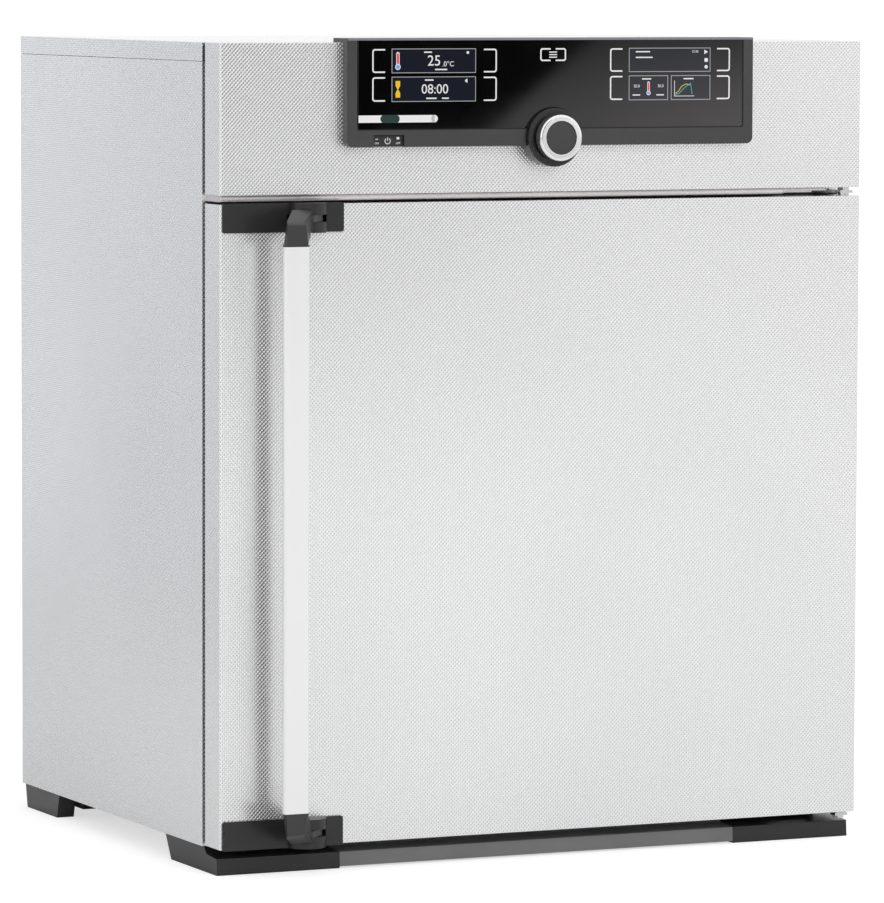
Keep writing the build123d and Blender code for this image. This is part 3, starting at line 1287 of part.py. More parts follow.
# Screws in the panels and in the feet
with BuildPart() as fixing_screws:
    for x, z in panel_screws:
        depth_rod(x, (case_back - 6.0, case_back), z, PANEL_SCREW_RADIUS)
        depth_rod(x, (case_back, case_back + 2.2), z, PANEL_SCREW_HEAD)
    for x, y in foot_screws:
        upright_rod(x, y, (FOOT_SCREW_SINK, case_bottom + SHEET), FOOT_SCREW_RADIUS)
        upright_rod(x, y, (FOOT_SCREW_SINK - 4.0, FOOT_SCREW_SINK), FOOT_SCREW_HEAD)
write("fixing_screws", fixing_screws)
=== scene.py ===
import math

import bmesh
import bpy
from bpy.props import FloatProperty, FloatVectorProperty, PointerProperty
from bpy.types import Operator, Panel, PropertyGroup
from mathutils import Matrix, Vector


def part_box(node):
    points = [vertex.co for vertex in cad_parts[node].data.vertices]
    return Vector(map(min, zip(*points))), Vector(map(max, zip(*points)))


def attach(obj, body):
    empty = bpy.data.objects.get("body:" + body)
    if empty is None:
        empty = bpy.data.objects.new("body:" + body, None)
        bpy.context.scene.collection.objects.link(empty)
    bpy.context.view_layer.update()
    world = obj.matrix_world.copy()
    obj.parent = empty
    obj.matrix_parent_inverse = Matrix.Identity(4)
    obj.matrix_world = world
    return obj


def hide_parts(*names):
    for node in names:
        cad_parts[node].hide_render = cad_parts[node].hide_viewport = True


bl_info = {
    "name": "Cooled incubator",
    "version": (1, 0, 0),
    "blender": (4, 5, 0),
    "location": "View3D > Sidebar > Incubator",
    "description": "Finishes, panel graphics and studio for a cooled laboratory incubator",
    "category": "Object",
}

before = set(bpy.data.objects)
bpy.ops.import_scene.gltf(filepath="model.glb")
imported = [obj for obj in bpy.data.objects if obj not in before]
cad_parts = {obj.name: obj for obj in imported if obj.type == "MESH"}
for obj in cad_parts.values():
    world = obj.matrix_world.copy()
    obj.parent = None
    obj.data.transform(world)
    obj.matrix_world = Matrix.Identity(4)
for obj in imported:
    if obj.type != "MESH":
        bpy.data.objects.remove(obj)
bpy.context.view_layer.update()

MM = 0.001
GLASS_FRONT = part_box("cockpit_glass")[0].y
BUTTON_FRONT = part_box("power_button")[0].y
BEZEL_LOW, BEZEL_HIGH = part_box("cockpit_bezel")

# Lines of the control panel, in millimetres across from its middle and up from the floor
PANEL_HALF_WIDTH = 235.5
GLASS_HALF_WIDTH = 223.4
GLASS_TOP = 866.0
GLASS_BOTTOM = 773.7
KNOB_LEVEL = 764.3
KNOB_GAP_RADIUS = 31.6
KNOB_RIM_RADIUS = 33.0

# Angles between faces: flatter ones become one face, sharper ones are rounded or keep their edge
FLAT_ANGLE = math.radians(0.5)
ROUNDED_ANGLE = math.radians(28)
SHADED_ANGLE = math.radians(32)

# How far in front of the incubator the cards stand that the control panel's glass reflects
CARD_FRONT = -3.3213


def colour(name, text, default):
    """A colour that can be set in the sidebar."""
    return FloatVectorProperty(
        name=name, description=text, default=default, subtype="COLOR", size=3, min=0.0, max=1.0
    )


class IncubatorSheetSettings(PropertyGroup):
    """Sizes and tones of the sheet metals."""

    dimple_pitch: FloatProperty(
        name="Dimple pitch", description="Distance between dimples in a row", default=4.2 * MM,
        unit="LENGTH"
    )
    row_pitch: FloatProperty(
        name="Row pitch", description="Distance between rows of dimples", default=2.2 * MM, unit="LENGTH"
    )
    dimple_depth: FloatProperty(
        name="Dimple depth", description="Depth of the embossed pattern", default=0.35 * MM, unit="LENGTH"
    )
    steel: colour("Embossed steel", "Tone of the raised parts of the outer sheets", (0.985, 0.985, 0.99))
    # The tone of the hollows is painted shade in the dimples
    hollow_shade: colour("Hollows", "Tone of the hollows of the outer sheets", (0.46, 0.475, 0.50))
    stainless: colour("Stainless", "Tone of the plain stainless sheets", (0.66, 0.66, 0.66))
    zinc: colour("Zinc", "Tone of the galvanised sheets", (0.50, 0.52, 0.54))


class IncubatorPlasticSettings(PropertyGroup):
    """Tones of the plastics."""

    bracket: colour("Brackets", "Handle brackets, arms and hinge blocks", (0.015, 0.015, 0.0155))
    foot: colour("Feet", "Front and rear feet", (0.0115, 0.0116, 0.0125))
    bar: colour("Foot bar", "Bar between the front feet", (0.15, 0.148, 0.148))
    bezel: colour("Bezel", "Frame of the control panel", (0.042, 0.041, 0.041))
    knob: colour("Knob face", "Disc in the middle of the control knob", (0.036, 0.036, 0.038))


class IncubatorPanelSettings(PropertyGroup):
    """Sizes and tones of the control panel's graphics."""

    print_depth: FloatProperty(
        name="Print depth", description="How far the marks stand out of the glass", default=0.06 * MM,
        unit="LENGTH"
    )
    bracket_stroke: FloatProperty(
        name="Bracket stroke", description="Stroke of the touch marks", default=1.5 * MM, unit="LENGTH"
    )
    frame_stroke: FloatProperty(
        name="Frame stroke", description="Stroke of the frames round the windows", default=0.75 * MM,
        unit="LENGTH"
    )
    window: colour("Window", "Background of the displays", (0.0116, 0.0137, 0.0212))
    mark: colour("Marks", "Printed marks and digits", (0.80, 0.80, 0.80))


class IncubatorStageSettings(PropertyGroup):
    """Camera, lamps and floor."""

    camera_place: FloatVectorProperty(
        name="Camera place", description="Where the camera stands", default=(-2.7209, -6.0379, 0.9455),
        size=3, subtype="TRANSLATION", unit="LENGTH"
    )
    camera_yaw: FloatProperty(
        name="Camera yaw", description="Turn to the right", default=math.radians(24.409), unit="ROTATION"
    )
    camera_pitch: FloatProperty(
        name="Camera pitch", description="Tilt down", default=math.radians(4.63), unit="ROTATION"
    )
    camera_roll: FloatProperty(
        name="Camera roll", description="Roll", default=math.radians(-0.174), unit="ROTATION"
    )
    lens: FloatProperty(
        name="Lens", description="Focal length for a 36 mm sensor", default=240.1, unit="CAMERA"
    )
    ambient: FloatProperty(name="Ambient", description="Strength of the even light", default=0.80)
    key: FloatProperty(name="Key", description="Power of the front lamp", default=80.0, unit="POWER")
    fill: FloatProperty(name="Fill", description="Power of the side lamp", default=18.0, unit="POWER")
    floor: colour("Floor", "Tone of the floor", (0.80, 0.80, 0.80))
    flag: colour("Grey flag", "Tone that the left side reflects", (0.70, 0.72, 0.755))


def scaled(tone, factor):
    """A darker or lighter tone of a colour."""
    return tuple(min(1.0, factor * part) for part in tone)


# Node helpers


def put(tree, socket, value):
    """Link a socket, or set its value."""
    if isinstance(value, bpy.types.NodeSocket):
        tree.links.new(value, socket)
    elif hasattr(socket.default_value, "__len__") and len(value) == 3 and len(socket.default_value) == 4:
        socket.default_value = (*value, 1.0)
    else:
        socket.default_value = value


def node(tree, kind, inputs=None, **settings):
    """A new node with its settings and inputs."""
    made = tree.nodes.new(kind)
    for name, value in settings.items():
        setattr(made, name, value)
    for name, value in (inputs or {}).items():
        put(tree, made.inputs[name], value)
    return made


def calc(tree, operation, *values, clamp=False):
    """The result of a math node."""
    made = tree.nodes.new("ShaderNodeMath")
    made.operation = operation
    made.use_clamp = clamp
    for socket, value in zip(made.inputs, values):
        put(tree, socket, value)
    return made.outputs[0]


def mixed(tree, factor, low, high):
    """Two colours mixed by a factor."""
    made = tree.nodes.new("ShaderNodeMix")
    made.data_type = "RGBA"
    put(tree, made.inputs[0], factor)
    put(tree, made.inputs[6], low)
    put(tree, made.inputs[7], high)
    return made.outputs[2]


def ranged(tree, value, low, high, to_low=0.0, to_high=1.0):
    """A value carried from one range to another, with a smooth start and end."""
    made = tree.nodes.new("ShaderNodeMapRange")
    made.interpolation_type = "SMOOTHSTEP"
    for socket, item in zip(made.inputs, (value, low, high, to_low, to_high)):
        put(tree, socket, item)
    return made.outputs[0]


def noise(tree, place, scale, detail=3.0, stretch=(1.0, 1.0, 1.0)):
    """Noise over the piece's own coordinates, from 0 to 1."""
    mapping = node(tree, "ShaderNodeMapping", {"Vector": place, "Scale": stretch})
    inputs = {"Vector": mapping.outputs[0], "Scale": scale, "Detail": detail}
    return node(tree, "ShaderNodeTexNoise", inputs).outputs[0]


def new_material(name):
    """A material with a principled shader, returned with its tree, shader and coordinates."""
    made = bpy.data.materials.new(name)
    made.use_nodes = True
    tree = made.node_tree
    tree.nodes.clear()
    output = tree.nodes.new("ShaderNodeOutputMaterial")
    shader = tree.nodes.new("ShaderNodeBsdfPrincipled")
    tree.links.new(shader.outputs[0], output.inputs[0])
    place = tree.nodes.new("ShaderNodeTexCoord")
    return made, tree, shader, place


def bumped(tree, shader, height, distance, strength=1.0, soft_edge=0.0):
    """Give the shader a relief of a given height in metres, and soft edges of a given radius."""
    bump = node(tree, "ShaderNodeBump", {"Height": height, "Distance": distance, "Strength": strength})
    if soft_edge:
        bevel = node(tree, "ShaderNodeBevel", {"Radius": soft_edge}, samples=4)
        tree.links.new(bevel.outputs[0], bump.inputs["Normal"])
    tree.links.new(bump.outputs[0], shader.inputs["Normal"])


def edge_wear(tree, radius):
    """A mask that is 1 on sharp edges of the piece and 0 on its faces.

    Near an edge the rounded normal turns away from the face's own, so their product falls below 1.
    """
    bevel = node(tree, "ShaderNodeBevel", {"Radius": radius}, samples=4)
    geometry = tree.nodes.new("ShaderNodeNewGeometry")
    product = tree.nodes.new("ShaderNodeVectorMath")
    product.operation = "DOT_PRODUCT"
    tree.links.new(bevel.outputs[0], product.inputs[0])
    tree.links.new(geometry.outputs["Normal"], product.inputs[1])
    return ranged(tree, product.outputs["Value"], 0.99, 0.80)


# Materials


def embossed_steel():
    """Stainless sheet rolled with staggered dimples, which follow whichever way a face looks, with painted
    shade in their hollows.
    """
    settings = bpy.context.scene.incubator_sheet
    made, tree, shader, place = new_material("embossed_steel")
    at = node(tree, "ShaderNodeSeparateXYZ", {0: place.outputs["Object"]})
    facing = node(tree, "ShaderNodeSeparateXYZ", {0: place.outputs["Normal"]})
    # The pattern lies across and up on the front, back and up on the sides, across and back on the top.
    # A face looks to a side or up when that part of its normal is above this
    mostly = 0.7
    side = calc(tree, "GREATER_THAN", calc(tree, "ABSOLUTE", facing.outputs[0]), mostly)
    top = calc(tree, "GREATER_THAN", calc(tree, "ABSOLUTE", facing.outputs[2]), mostly)
    across = node(tree, "ShaderNodeMix", {0: side, 2: at.outputs[0], 3: at.outputs[1]}).outputs[0]
    up = node(tree, "ShaderNodeMix", {0: top, 2: at.outputs[2], 3: at.outputs[1]}).outputs[0]
    across = calc(tree, "MULTIPLY", across, 2 * math.pi / settings.dimple_pitch)
    up = calc(tree, "MULTIPLY", up, math.pi / settings.row_pitch)
    relief = calc(tree, "MULTIPLY", calc(tree, "COSINE", across), calc(tree, "COSINE", up))
    # A share of the same waves a quarter turn on slants the dimples, both in the relief and in the painted
    # shade of the hollows
    slant_share = 0.25
    slant = calc(tree, "MULTIPLY", calc(tree, "SINE", across), calc(tree, "SINE", up))
    grains = calc(tree, "ADD", relief, calc(tree, "MULTIPLY", slant, slant_share))
    # The hollows get a darker tone: painted shade in the dimples
    hollow_shade = ranged(tree, grains, -0.10, -0.85)
    drift = noise(tree, place.outputs["Object"], 3.0, 2.0)
    grain = noise(tree, place.outputs["Object"], 900.0, 2.0)
    clean = mixed(tree, ranged(tree, drift, 0.35, 0.7), settings.steel, scaled(settings.steel, 0.96))
    tone = mixed(tree, calc(tree, "MULTIPLY", hollow_shade, 0.66), clean, settings.hollow_shade)
    put(tree, shader.inputs["Base Color"], tone)
    shader.inputs["Metallic"].default_value = 0.95
    rough = calc(tree, "ADD", 0.20, calc(tree, "MULTIPLY", grain, 0.06))
    put(tree, shader.inputs["Roughness"], calc(tree, "ADD", rough, calc(tree, "MULTIPLY", drift, 0.04)))
    height = calc(tree, "ADD", ranged(tree, grains, 0.0, 1.0), calc(tree, "MULTIPLY", grain, 0.02))
    bumped(tree, shader, height, settings.dimple_depth, 0.7, 1.0 * MM)
    return made


def brushed_metal(name, tone, roughness, grain_axis=(1.0, 1.0, 30.0), soft_edge=0.0):
    """Metal with fine brush lines, small changes of gloss and brighter edges."""
    made, tree, shader, place = new_material(name)
    lines = noise(tree, place.outputs["Object"], 60.0, 4.0, grain_axis)
    cloud = noise(tree, place.outputs["Object"], 9.0, 2.0)
    worn = edge_wear(tree, 0.6 * MM)
    dull = mixed(tree, ranged(tree, cloud, 0.3, 0.7), tone, scaled(tone, 0.88))
    bright = mixed(tree, calc(tree, "MULTIPLY", worn, 0.4), dull, scaled(tone, 1.25))
    put(tree, shader.inputs["Base Color"], bright)
    shader.inputs["Metallic"].default_value = 1.0
    change = calc(tree, "MULTIPLY", calc(tree, "SUBTRACT", lines, 0.5), 0.12)
    put(tree, shader.inputs["Roughness"], calc(tree, "ADD", roughness, change))
    bumped(tree, shader, lines, 0.01 * MM, 0.2, soft_edge)
    return made


def galvanised_steel():
    """Zinc-coated sheet with its crystal pattern."""
    tone = bpy.context.scene.incubator_sheet.zinc
    made, tree, shader, place = new_material("galvanised_steel")
    crystal = node(tree, "ShaderNodeTexVoronoi", {"Vector": place.outputs["Object"], "Scale": 90.0})
    flake = node(tree, "ShaderNodeSeparateColor", {0: crystal.outputs["Color"]}).outputs[0]
    fine = noise(tree, place.outputs["Object"], 300.0, 3.0)
    shade = mixed(tree, flake, scaled(tone, 0.84), scaled(tone, 1.14))
    put(tree, shader.inputs["Base Color"], shade)
    shader.inputs["Metallic"].default_value = 0.8
    put(tree, shader.inputs["Roughness"], ranged(tree, flake, 0.0, 1.0, 0.36, 0.52))
    bumped(tree, shader, fine, 0.03 * MM, 0.3)
    return made


def moulded_plastic(name, tone, roughness=0.42, grain=0.05, wear=0.35, soft_edge=0.0):
    """Moulded plastic with a fine grain, slight mottling and lighter edges."""
    made, tree, shader, place = new_material(name)
    spark = noise(tree, place.outputs["Object"], 1400.0, 2.0)
    cloud = noise(tree, place.outputs["Object"], 14.0, 3.0)
    worn = calc(tree, "MULTIPLY", edge_wear(tree, 0.8 * MM), wear)
    body = mixed(tree, ranged(tree, cloud, 0.3, 0.7), tone, scaled(tone, 1.12))
    lighter = tuple(min(1.0, 1.6 * c + 0.02) for c in tone)
    put(tree, shader.inputs["Base Color"], mixed(tree, worn, body, lighter))
    put(tree, shader.inputs["Roughness"], ranged(tree, cloud, 0.2, 0.8, roughness - 0.04, roughness + 0.05))
    bumped(tree, shader, spark, grain * MM, 0.5, soft_edge)
    return made


def silver_bar():
    """Pale satin anodised extrusion."""
    made, tree, shader, place = new_material("silver_bar")
    lines = noise(tree, place.outputs["Object"], 120.0, 3.0, (12.0, 12.0, 0.5))
    worn = edge_wear(tree, 0.7 * MM)
    put(tree, shader.inputs["Base Color"], mixed(tree, worn, (0.92, 0.92, 0.925), (0.96, 0.96, 0.97)))
    shader.inputs["Metallic"].default_value = 0.6
    put(tree, shader.inputs["Roughness"], ranged(tree, lines, 0.3, 0.7, 0.34, 0.42))
    bumped(tree, shader, lines, 0.01 * MM, 0.3)
    return made


def polished_ring():
    """Chromed ring of the control knob, with faint turning marks."""
    made, tree, shader, place = new_material("polished_ring")
    turned = noise(tree, place.outputs["Object"], 400.0, 2.0, (1.0, 6.0, 1.0))
    tone = mixed(tree, turned, (0.95, 0.955, 0.965), (0.985, 0.985, 0.99))
    put(tree, shader.inputs["Base Color"], tone)
    shader.inputs["Metallic"].default_value = 1.0
    put(tree, shader.inputs["Roughness"], ranged(tree, turned, 0.3, 0.7, 0.07, 0.09))
    bumped(tree, shader, turned, 0.002 * MM, 0.1, 1.0 * MM)
    return made


def panel_glass():
    """Black glass of the control panel, printed dark behind."""
    made, tree, shader, place = new_material("panel_glass")
    smear = noise(tree, place.outputs["Object"], 30.0, 3.0)
    tone = mixed(tree, smear, (0.0016, 0.0017, 0.0019), (0.0026, 0.0026, 0.0028))
    put(tree, shader.inputs["Base Color"], tone)
    put(tree, shader.inputs["Roughness"], ranged(tree, smear, 0.3, 0.7, 0.035, 0.05))
    shader.inputs["IOR"].default_value = 1.6
    return made


def lit_print(name, tone, glow):
    """Print or display pixels under the panel's gloss. A share glow of the tone glows: the displays' own
    light, and on printed marks a painted glow.
    """
    made, tree, shader, place = new_material(name)
    dots = noise(tree, place.outputs["Object"], 2500.0, 1.0)
    shade = mixed(tree, dots, scaled(tone, 0.94), tone)
    put(tree, shader.inputs["Base Color"], scaled(tone, 1.0 - glow))
    put(tree, shader.inputs["Emission Color"], shade)
    shader.inputs["Emission Strength"].default_value = glow
    shader.inputs["Roughness"].default_value = 0.05
    shader.inputs["IOR"].default_value = 1.5
    return made


def clear_glass():
    """Clear toughened glass of the inner door."""
    made, tree, shader, place = new_material("clear_glass")
    wave = noise(tree, place.outputs["Object"], 4.0, 2.0)
    shader.inputs["Base Color"].default_value = (0.93, 0.98, 0.96, 1.0)
    shader.inputs["Transmission Weight"].default_value = 1.0
    shader.inputs["IOR"].default_value = 1.5
    put(tree, shader.inputs["Roughness"], ranged(tree, wave, 0.3, 0.7, 0.0, 0.012))
    return made


def soft_rubber(name, tone):
    """Silicone or rubber, matt and slightly dusty."""
    made, tree, shader, place = new_material(name)
    dust = noise(tree, place.outputs["Object"], 120.0, 4.0)
    put(tree, shader.inputs["Base Color"], mixed(tree, dust, tone, scaled(tone, 1.2)))
    put(tree, shader.inputs["Roughness"], ranged(tree, dust, 0.3, 0.7, 0.55, 0.7))
    bumped(tree, shader, dust, 0.04 * MM, 0.4)
    return made


def foam():
    """Pressed mineral insulation."""
    made, tree, shader, place = new_material("insulation_foam")
    fibre = noise(tree, place.outputs["Object"], 180.0, 6.0, (1.0, 1.0, 3.0))
    put(tree, shader.inputs["Base Color"], mixed(tree, fibre, (0.55, 0.50, 0.36), (0.78, 0.74, 0.58)))
    shader.inputs["Roughness"].default_value = 0.95
    bumped(tree, shader, fibre, 0.6 * MM, 0.7)
    return made


def circuit_board():
    """Green solder mask with tracks under it."""
    made, tree, shader, place = new_material("circuit_board")
    inputs = {
        "Vector": place.outputs["Object"], "Scale": 60.0, "Mortar Size": 0.03,
        "Color1": (0.01, 0.10, 0.05), "Color2": (0.012, 0.13, 0.06), "Mortar": (0.03, 0.22, 0.12),
    }
    tracks = node(tree, "ShaderNodeTexBrick", inputs)
    put(tree, shader.inputs["Base Color"], tracks.outputs[0])
    shader.inputs["Roughness"].default_value = 0.35
    bumped(tree, shader, tracks.outputs["Fac"], 0.03 * MM, 0.4)
    return made


def ceramic():
    """White ceramic faces of the Peltier modules."""
    made, tree, shader, place = new_material("white_ceramic")
    speck = noise(tree, place.outputs["Object"], 500.0, 2.0)
    put(tree, shader.inputs["Base Color"], mixed(tree, speck, (0.80, 0.80, 0.78), (0.88, 0.88, 0.86)))
    shader.inputs["Roughness"].default_value = 0.5
    bumped(tree, shader, speck, 0.02 * MM, 0.4)
    return made


# Mesh helpers


def mesh_object(name, made):
    """An object for a mesh, linked into the scene."""
    piece = bpy.data.objects.new(name, made)
    bpy.context.scene.collection.objects.link(piece)
    return piece


def finished(piece, material, body):
    """Give a piece its material, body and slot."""
    piece.data.materials.clear()
    piece.data.materials.append(material)
    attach(piece, body)


def coat(names, material):
    """Give CAD nodes a material."""
    for name in names:
        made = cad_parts[name].data
        made.materials.clear()
        made.materials.append(material)


def smooth_by_angle(made, angle):
    """Shade a mesh smooth, with sharp edges where its faces meet at a larger angle."""
    shape = bmesh.new()
    shape.from_mesh(made)
    for face in shape.faces:
        face.smooth = True
    for edge in shape.edges:
        edge.smooth = len(edge.link_faces) == 2 and edge.calc_face_angle() < angle
    shape.to_mesh(made)
    shape.free()


def rounded_copy(name, node_name, width, segments=3):
    """A copy of a CAD node with its sharp edges rounded, which stands for the node."""
    shape = bmesh.new()
    shape.from_mesh(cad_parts[node_name].data)
    bmesh.ops.remove_doubles(shape, verts=shape.verts, dist=0.002 * MM)
    bmesh.ops.dissolve_limit(
        shape, angle_limit=FLAT_ANGLE, verts=shape.verts, edges=shape.edges, delimit={"NORMAL"}
    )
    sharp = [
        edge
        for edge in shape.edges
        if len(edge.link_faces) == 2 and edge.calc_face_angle() > ROUNDED_ANGLE
    ]
    bmesh.ops.bevel(
        shape, geom=sharp, offset=width, offset_type="OFFSET", segments=segments, profile=0.5,
        affect="EDGES", clamp_overlap=True, harden_normals=False
    )
    bmesh.ops.triangulate(shape, faces=[face for face in shape.faces if len(face.verts) > 4])
    made = bpy.data.meshes.new(name)
    shape.to_mesh(made)
    shape.free()
    smooth_by_angle(made, SHADED_ANGLE)
    piece = mesh_object(name, made)
    weighted = piece.modifiers.new("even_faces", "WEIGHTED_NORMAL")
    weighted.keep_sharp = True
    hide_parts(node_name)
    return piece


class Marks:
    """Flat marks on a face that looks to the front, gathered in one mesh.

    Their places are in millimetres, across from the panel's middle and up from the floor.
    """

    def __init__(self, name, front, depth):
        self.name = name
        self.front = front
        self.depth = depth
        self.shape = bmesh.new()

    def outline(self, points):
        """A filled mark with the given corners."""
        near = [self.shape.verts.new((x * MM, self.front - self.depth, z * MM)) for x, z in points]
        far = [self.shape.verts.new((x * MM, self.front, z * MM)) for x, z in points]
        self.shape.faces.new(near)
        self.shape.faces.new(far[::-1])
        for i, corner in enumerate(near):
            after = (i + 1) % len(near)
            self.shape.faces.new((corner, far[i], far[after], near[after]))

    def box(self, x, z, radius=0.0, steps=6):
        """A rectangle between two ends each way, with round corners."""
        corners = ((x[0], z[0], 180), (x[1], z[0], 270), (x[1], z[1], 0), (x[0], z[1], 90))
        points = []
        for px, pz, start in corners:
            cx = px + radius * (1 if px == x[0] else -1)
            cz = pz + radius * (1 if pz == z[0] else -1)
            for step in range(steps + 1 if radius else 1):
                turn = math.radians(start + 90 * step / steps)
                points.append((cx + radius * math.cos(turn), cz + radius * math.sin(turn)))
        self.outline(points)

    def disc(self, x, z, radius, steps=24):
        """A round mark."""
        turns = [2 * math.pi * step / steps for step in range(steps)]
        self.outline([(x + radius * math.cos(t), z + radius * math.sin(t)) for t in turns])

    def stroke(self, points, width, closed=False):
        """A line of even width along the given points, with mitred corners."""
        count = len(points)
        sides = []
        for i in range(count):
            before = Vector(points[i - 1]) if closed or i > 0 else None
            here = Vector(points[i])
            after = Vector(points[(i + 1) % count]) if closed or i < count - 1 else None
            enter = (here - before).normalized() if before else (after - here).normalized()
            leave = (after - here).normalized() if after else enter
            normal = Vector((-enter.y - leave.y, enter.x + leave.x)).normalized()
            # The outer point of a sharp corner is kept from running far out
            reach = width / 2 / max(0.3, normal.dot(Vector((-enter.y, enter.x))))
            sides.append((here + normal * reach, here - normal * reach))
        for i in range(count if closed else count - 1):
            left, right = sides[i]
            next_left, next_right = sides[(i + 1) % count]
            self.outline([tuple(right), tuple(next_right), tuple(next_left), tuple(left)])

    def arc(self, x, z, radius, start, end, width, steps=20):
        """Part of a ring between two angles in degrees."""
        turns = [math.radians(start + (end - start) * step / steps) for step in range(steps + 1)]
        self.stroke([(x + radius * math.cos(t), z + radius * math.sin(t)) for t in turns], width)

    def text(self, body, x, z, size):
        """Figures or short words, with their middle at a place."""
        curve = bpy.data.curves.new(self.name + "_text", "FONT")
        curve.body = body
        curve.size = size * MM
        curve.align_x = "CENTER"
        curve.align_y = "CENTER"
        curve.extrude = self.depth / 2
        curve.resolution_u = 4
        holder = mesh_object(self.name + "_text", curve)
        bpy.context.view_layer.update()
        made = bpy.data.meshes.new_from_object(holder)
        upright = Matrix.Translation((x * MM, self.front - self.depth / 2, z * MM))
        made.transform(upright @ Matrix.Rotation(math.radians(90), 4, "X"))
        self.shape.from_mesh(made)
        bpy.data.objects.remove(holder)
        bpy.data.curves.remove(curve)
        bpy.data.meshes.remove(made)

    def finish(self, material, body):
        """Turn the marks into one piece."""
        bmesh.ops.recalc_face_normals(self.shape, faces=self.shape.faces)
        made = bpy.data.meshes.new(self.name)
        self.shape.to_mesh(made)
        self.shape.free()
        finished(mesh_object(self.name, made), material, body)


# Stage


def card(name, corners, paint):
    """A card that only reflections see, with its corners given in order."""
    shape = bmesh.new()
    shape.faces.new([shape.verts.new(corner) for corner in corners])
    made = bpy.data.meshes.new(name)
    shape.to_mesh(made)
    shape.free()
    piece = mesh_object(name, made)
    made.materials.append(paint)
    piece.visible_camera = False
    piece.visible_diffuse = False
    piece.visible_transmission = False
    piece.visible_shadow = False


def card_paint(name, tone):
    """A card's light, returned with its tree, its emission and the place on the card."""
    paint = bpy.data.materials.new(name)
    paint.use_nodes = True
    tree = paint.node_tree
    tree.nodes.clear()
    output = tree.nodes.new("ShaderNodeOutputMaterial")
    glow = node(tree, "ShaderNodeEmission", {"Color": tone, "Strength": 1.0})
    tree.links.new(glow.outputs[0], output.inputs[0])
    place = tree.nodes.new("ShaderNodeTexCoord").outputs["Object"]
    return paint, tree, glow, node(tree, "ShaderNodeSeparateXYZ", {0: place})


def glass_card():
    """What the control panel's glass reflects: black, then a band that brightens to the lower right."""
    paint, tree, glow, at = card_paint("glass_card", (1.0, 0.955, 0.95))
    # Two places, across and up, on the slanting edge between black and bright
    (low_x, low_z), (high_x, high_z) = (1.331, 0.698), (1.490, 0.821)
    slope = (high_x - low_x) / (high_z - low_z)
    edge = calc(tree, "SUBTRACT", at.outputs[0], calc(tree, "MULTIPLY", at.outputs[2], slope))
    start = low_x - slope * low_z
    lit = ranged(tree, edge, start - 0.012, start + 0.022)
    # The band has this strength near the top of that edge, and gains so much each metre down and across
    strength, gain_down, gain_across, least = 0.45, 5.2, 1.6, 0.3
    down = calc(tree, "MULTIPLY", calc(tree, "SUBTRACT", 0.82, at.outputs[2]), gain_down)
    along = calc(tree, "MULTIPLY", calc(tree, "SUBTRACT", at.outputs[0], 1.49), gain_across)
    band = calc(tree, "MULTIPLY", calc(tree, "ADD", strength, down), calc(tree, "ADD", 1.0, along))
    put(tree, glow.inputs["Strength"], calc(tree, "MULTIPLY", lit, calc(tree, "MAXIMUM", band, least)))
    corners = ((0.95, 0.675), (1.9, 0.675), (1.9, 0.86), (0.95, 0.86))
    card("glass_card", [(x, CARD_FRONT, z) for x, z in corners], paint)


def dark_card():
    """What the upper left of the door and panel reflects: a dark patch of the room."""
    paint = card_paint("dark_card", (0.0, 0.0, 0.0))[0]
    corners = ((0.1, 0.8), (0.6, 0.62), (1.12, 0.62), (1.12, 1.0), (0.95, 1.5), (0.1, 1.5))
    # It stands just behind the glass card, as seen from the incubator
    card("dark_card", [(x, CARD_FRONT - 0.01, z) for x, z in corners], paint)


def side_card(tone):
    """What the left side reflects: brighter to the back."""
    paint, tree, glow, at = card_paint("side_card", tone)
    dim_until, bright_from, dim, bright = 1.95, 2.95, 0.66, 1.45
    put(tree, glow.inputs["Strength"], ranged(tree, at.outputs[1], dim_until, bright_from, dim, bright))
    aside = -1.31
    corners = ((0.9, 0.0), (5.0, 0.0), (5.0, 2.0), (0.9, 2.0))
    card("side_card", [(aside, y, z) for y, z in corners], paint)


def lamp(name, place, aim, size, power):
    """A soft square lamp that looks at a point."""
    light = bpy.data.lights.new(name, "AREA")
    light.shape = "RECTANGLE"
    light.size, light.size_y = size
    light.energy = power
    piece = bpy.data.objects.new(name, light)
    bpy.context.scene.collection.objects.link(piece)
    turn = (Vector(aim) - Vector(place)).to_track_quat("-Z", "Y").to_matrix().to_4x4()
    piece.matrix_world = Matrix.Translation(place) @ turn
    piece.visible_glossy = False


def white_world(ambient):
    """White to the camera, in reflections and through glass, and an even light otherwise."""
    world = bpy.data.worlds.new("studio")
    bpy.context.scene.world = world
    world.use_nodes = True
    tree = world.node_tree
    tree.nodes.clear()
    output = tree.nodes.new("ShaderNodeOutputWorld")
    path = tree.nodes.new("ShaderNodeLightPath")
    seen = calc(tree, "MAXIMUM", path.outputs["Is Camera Ray"], path.outputs["Is Glossy Ray"])
    seen = calc(tree, "MAXIMUM", seen, path.outputs["Is Transmission Ray"])
    strength = ranged(tree, seen, 0.0, 1.0, ambient, 1.0)
    background = node(tree, "ShaderNodeBackground", {"Color": (1.0, 1.0, 1.0), "Strength": strength})
    tree.links.new(background.outputs[0], output.inputs[0])


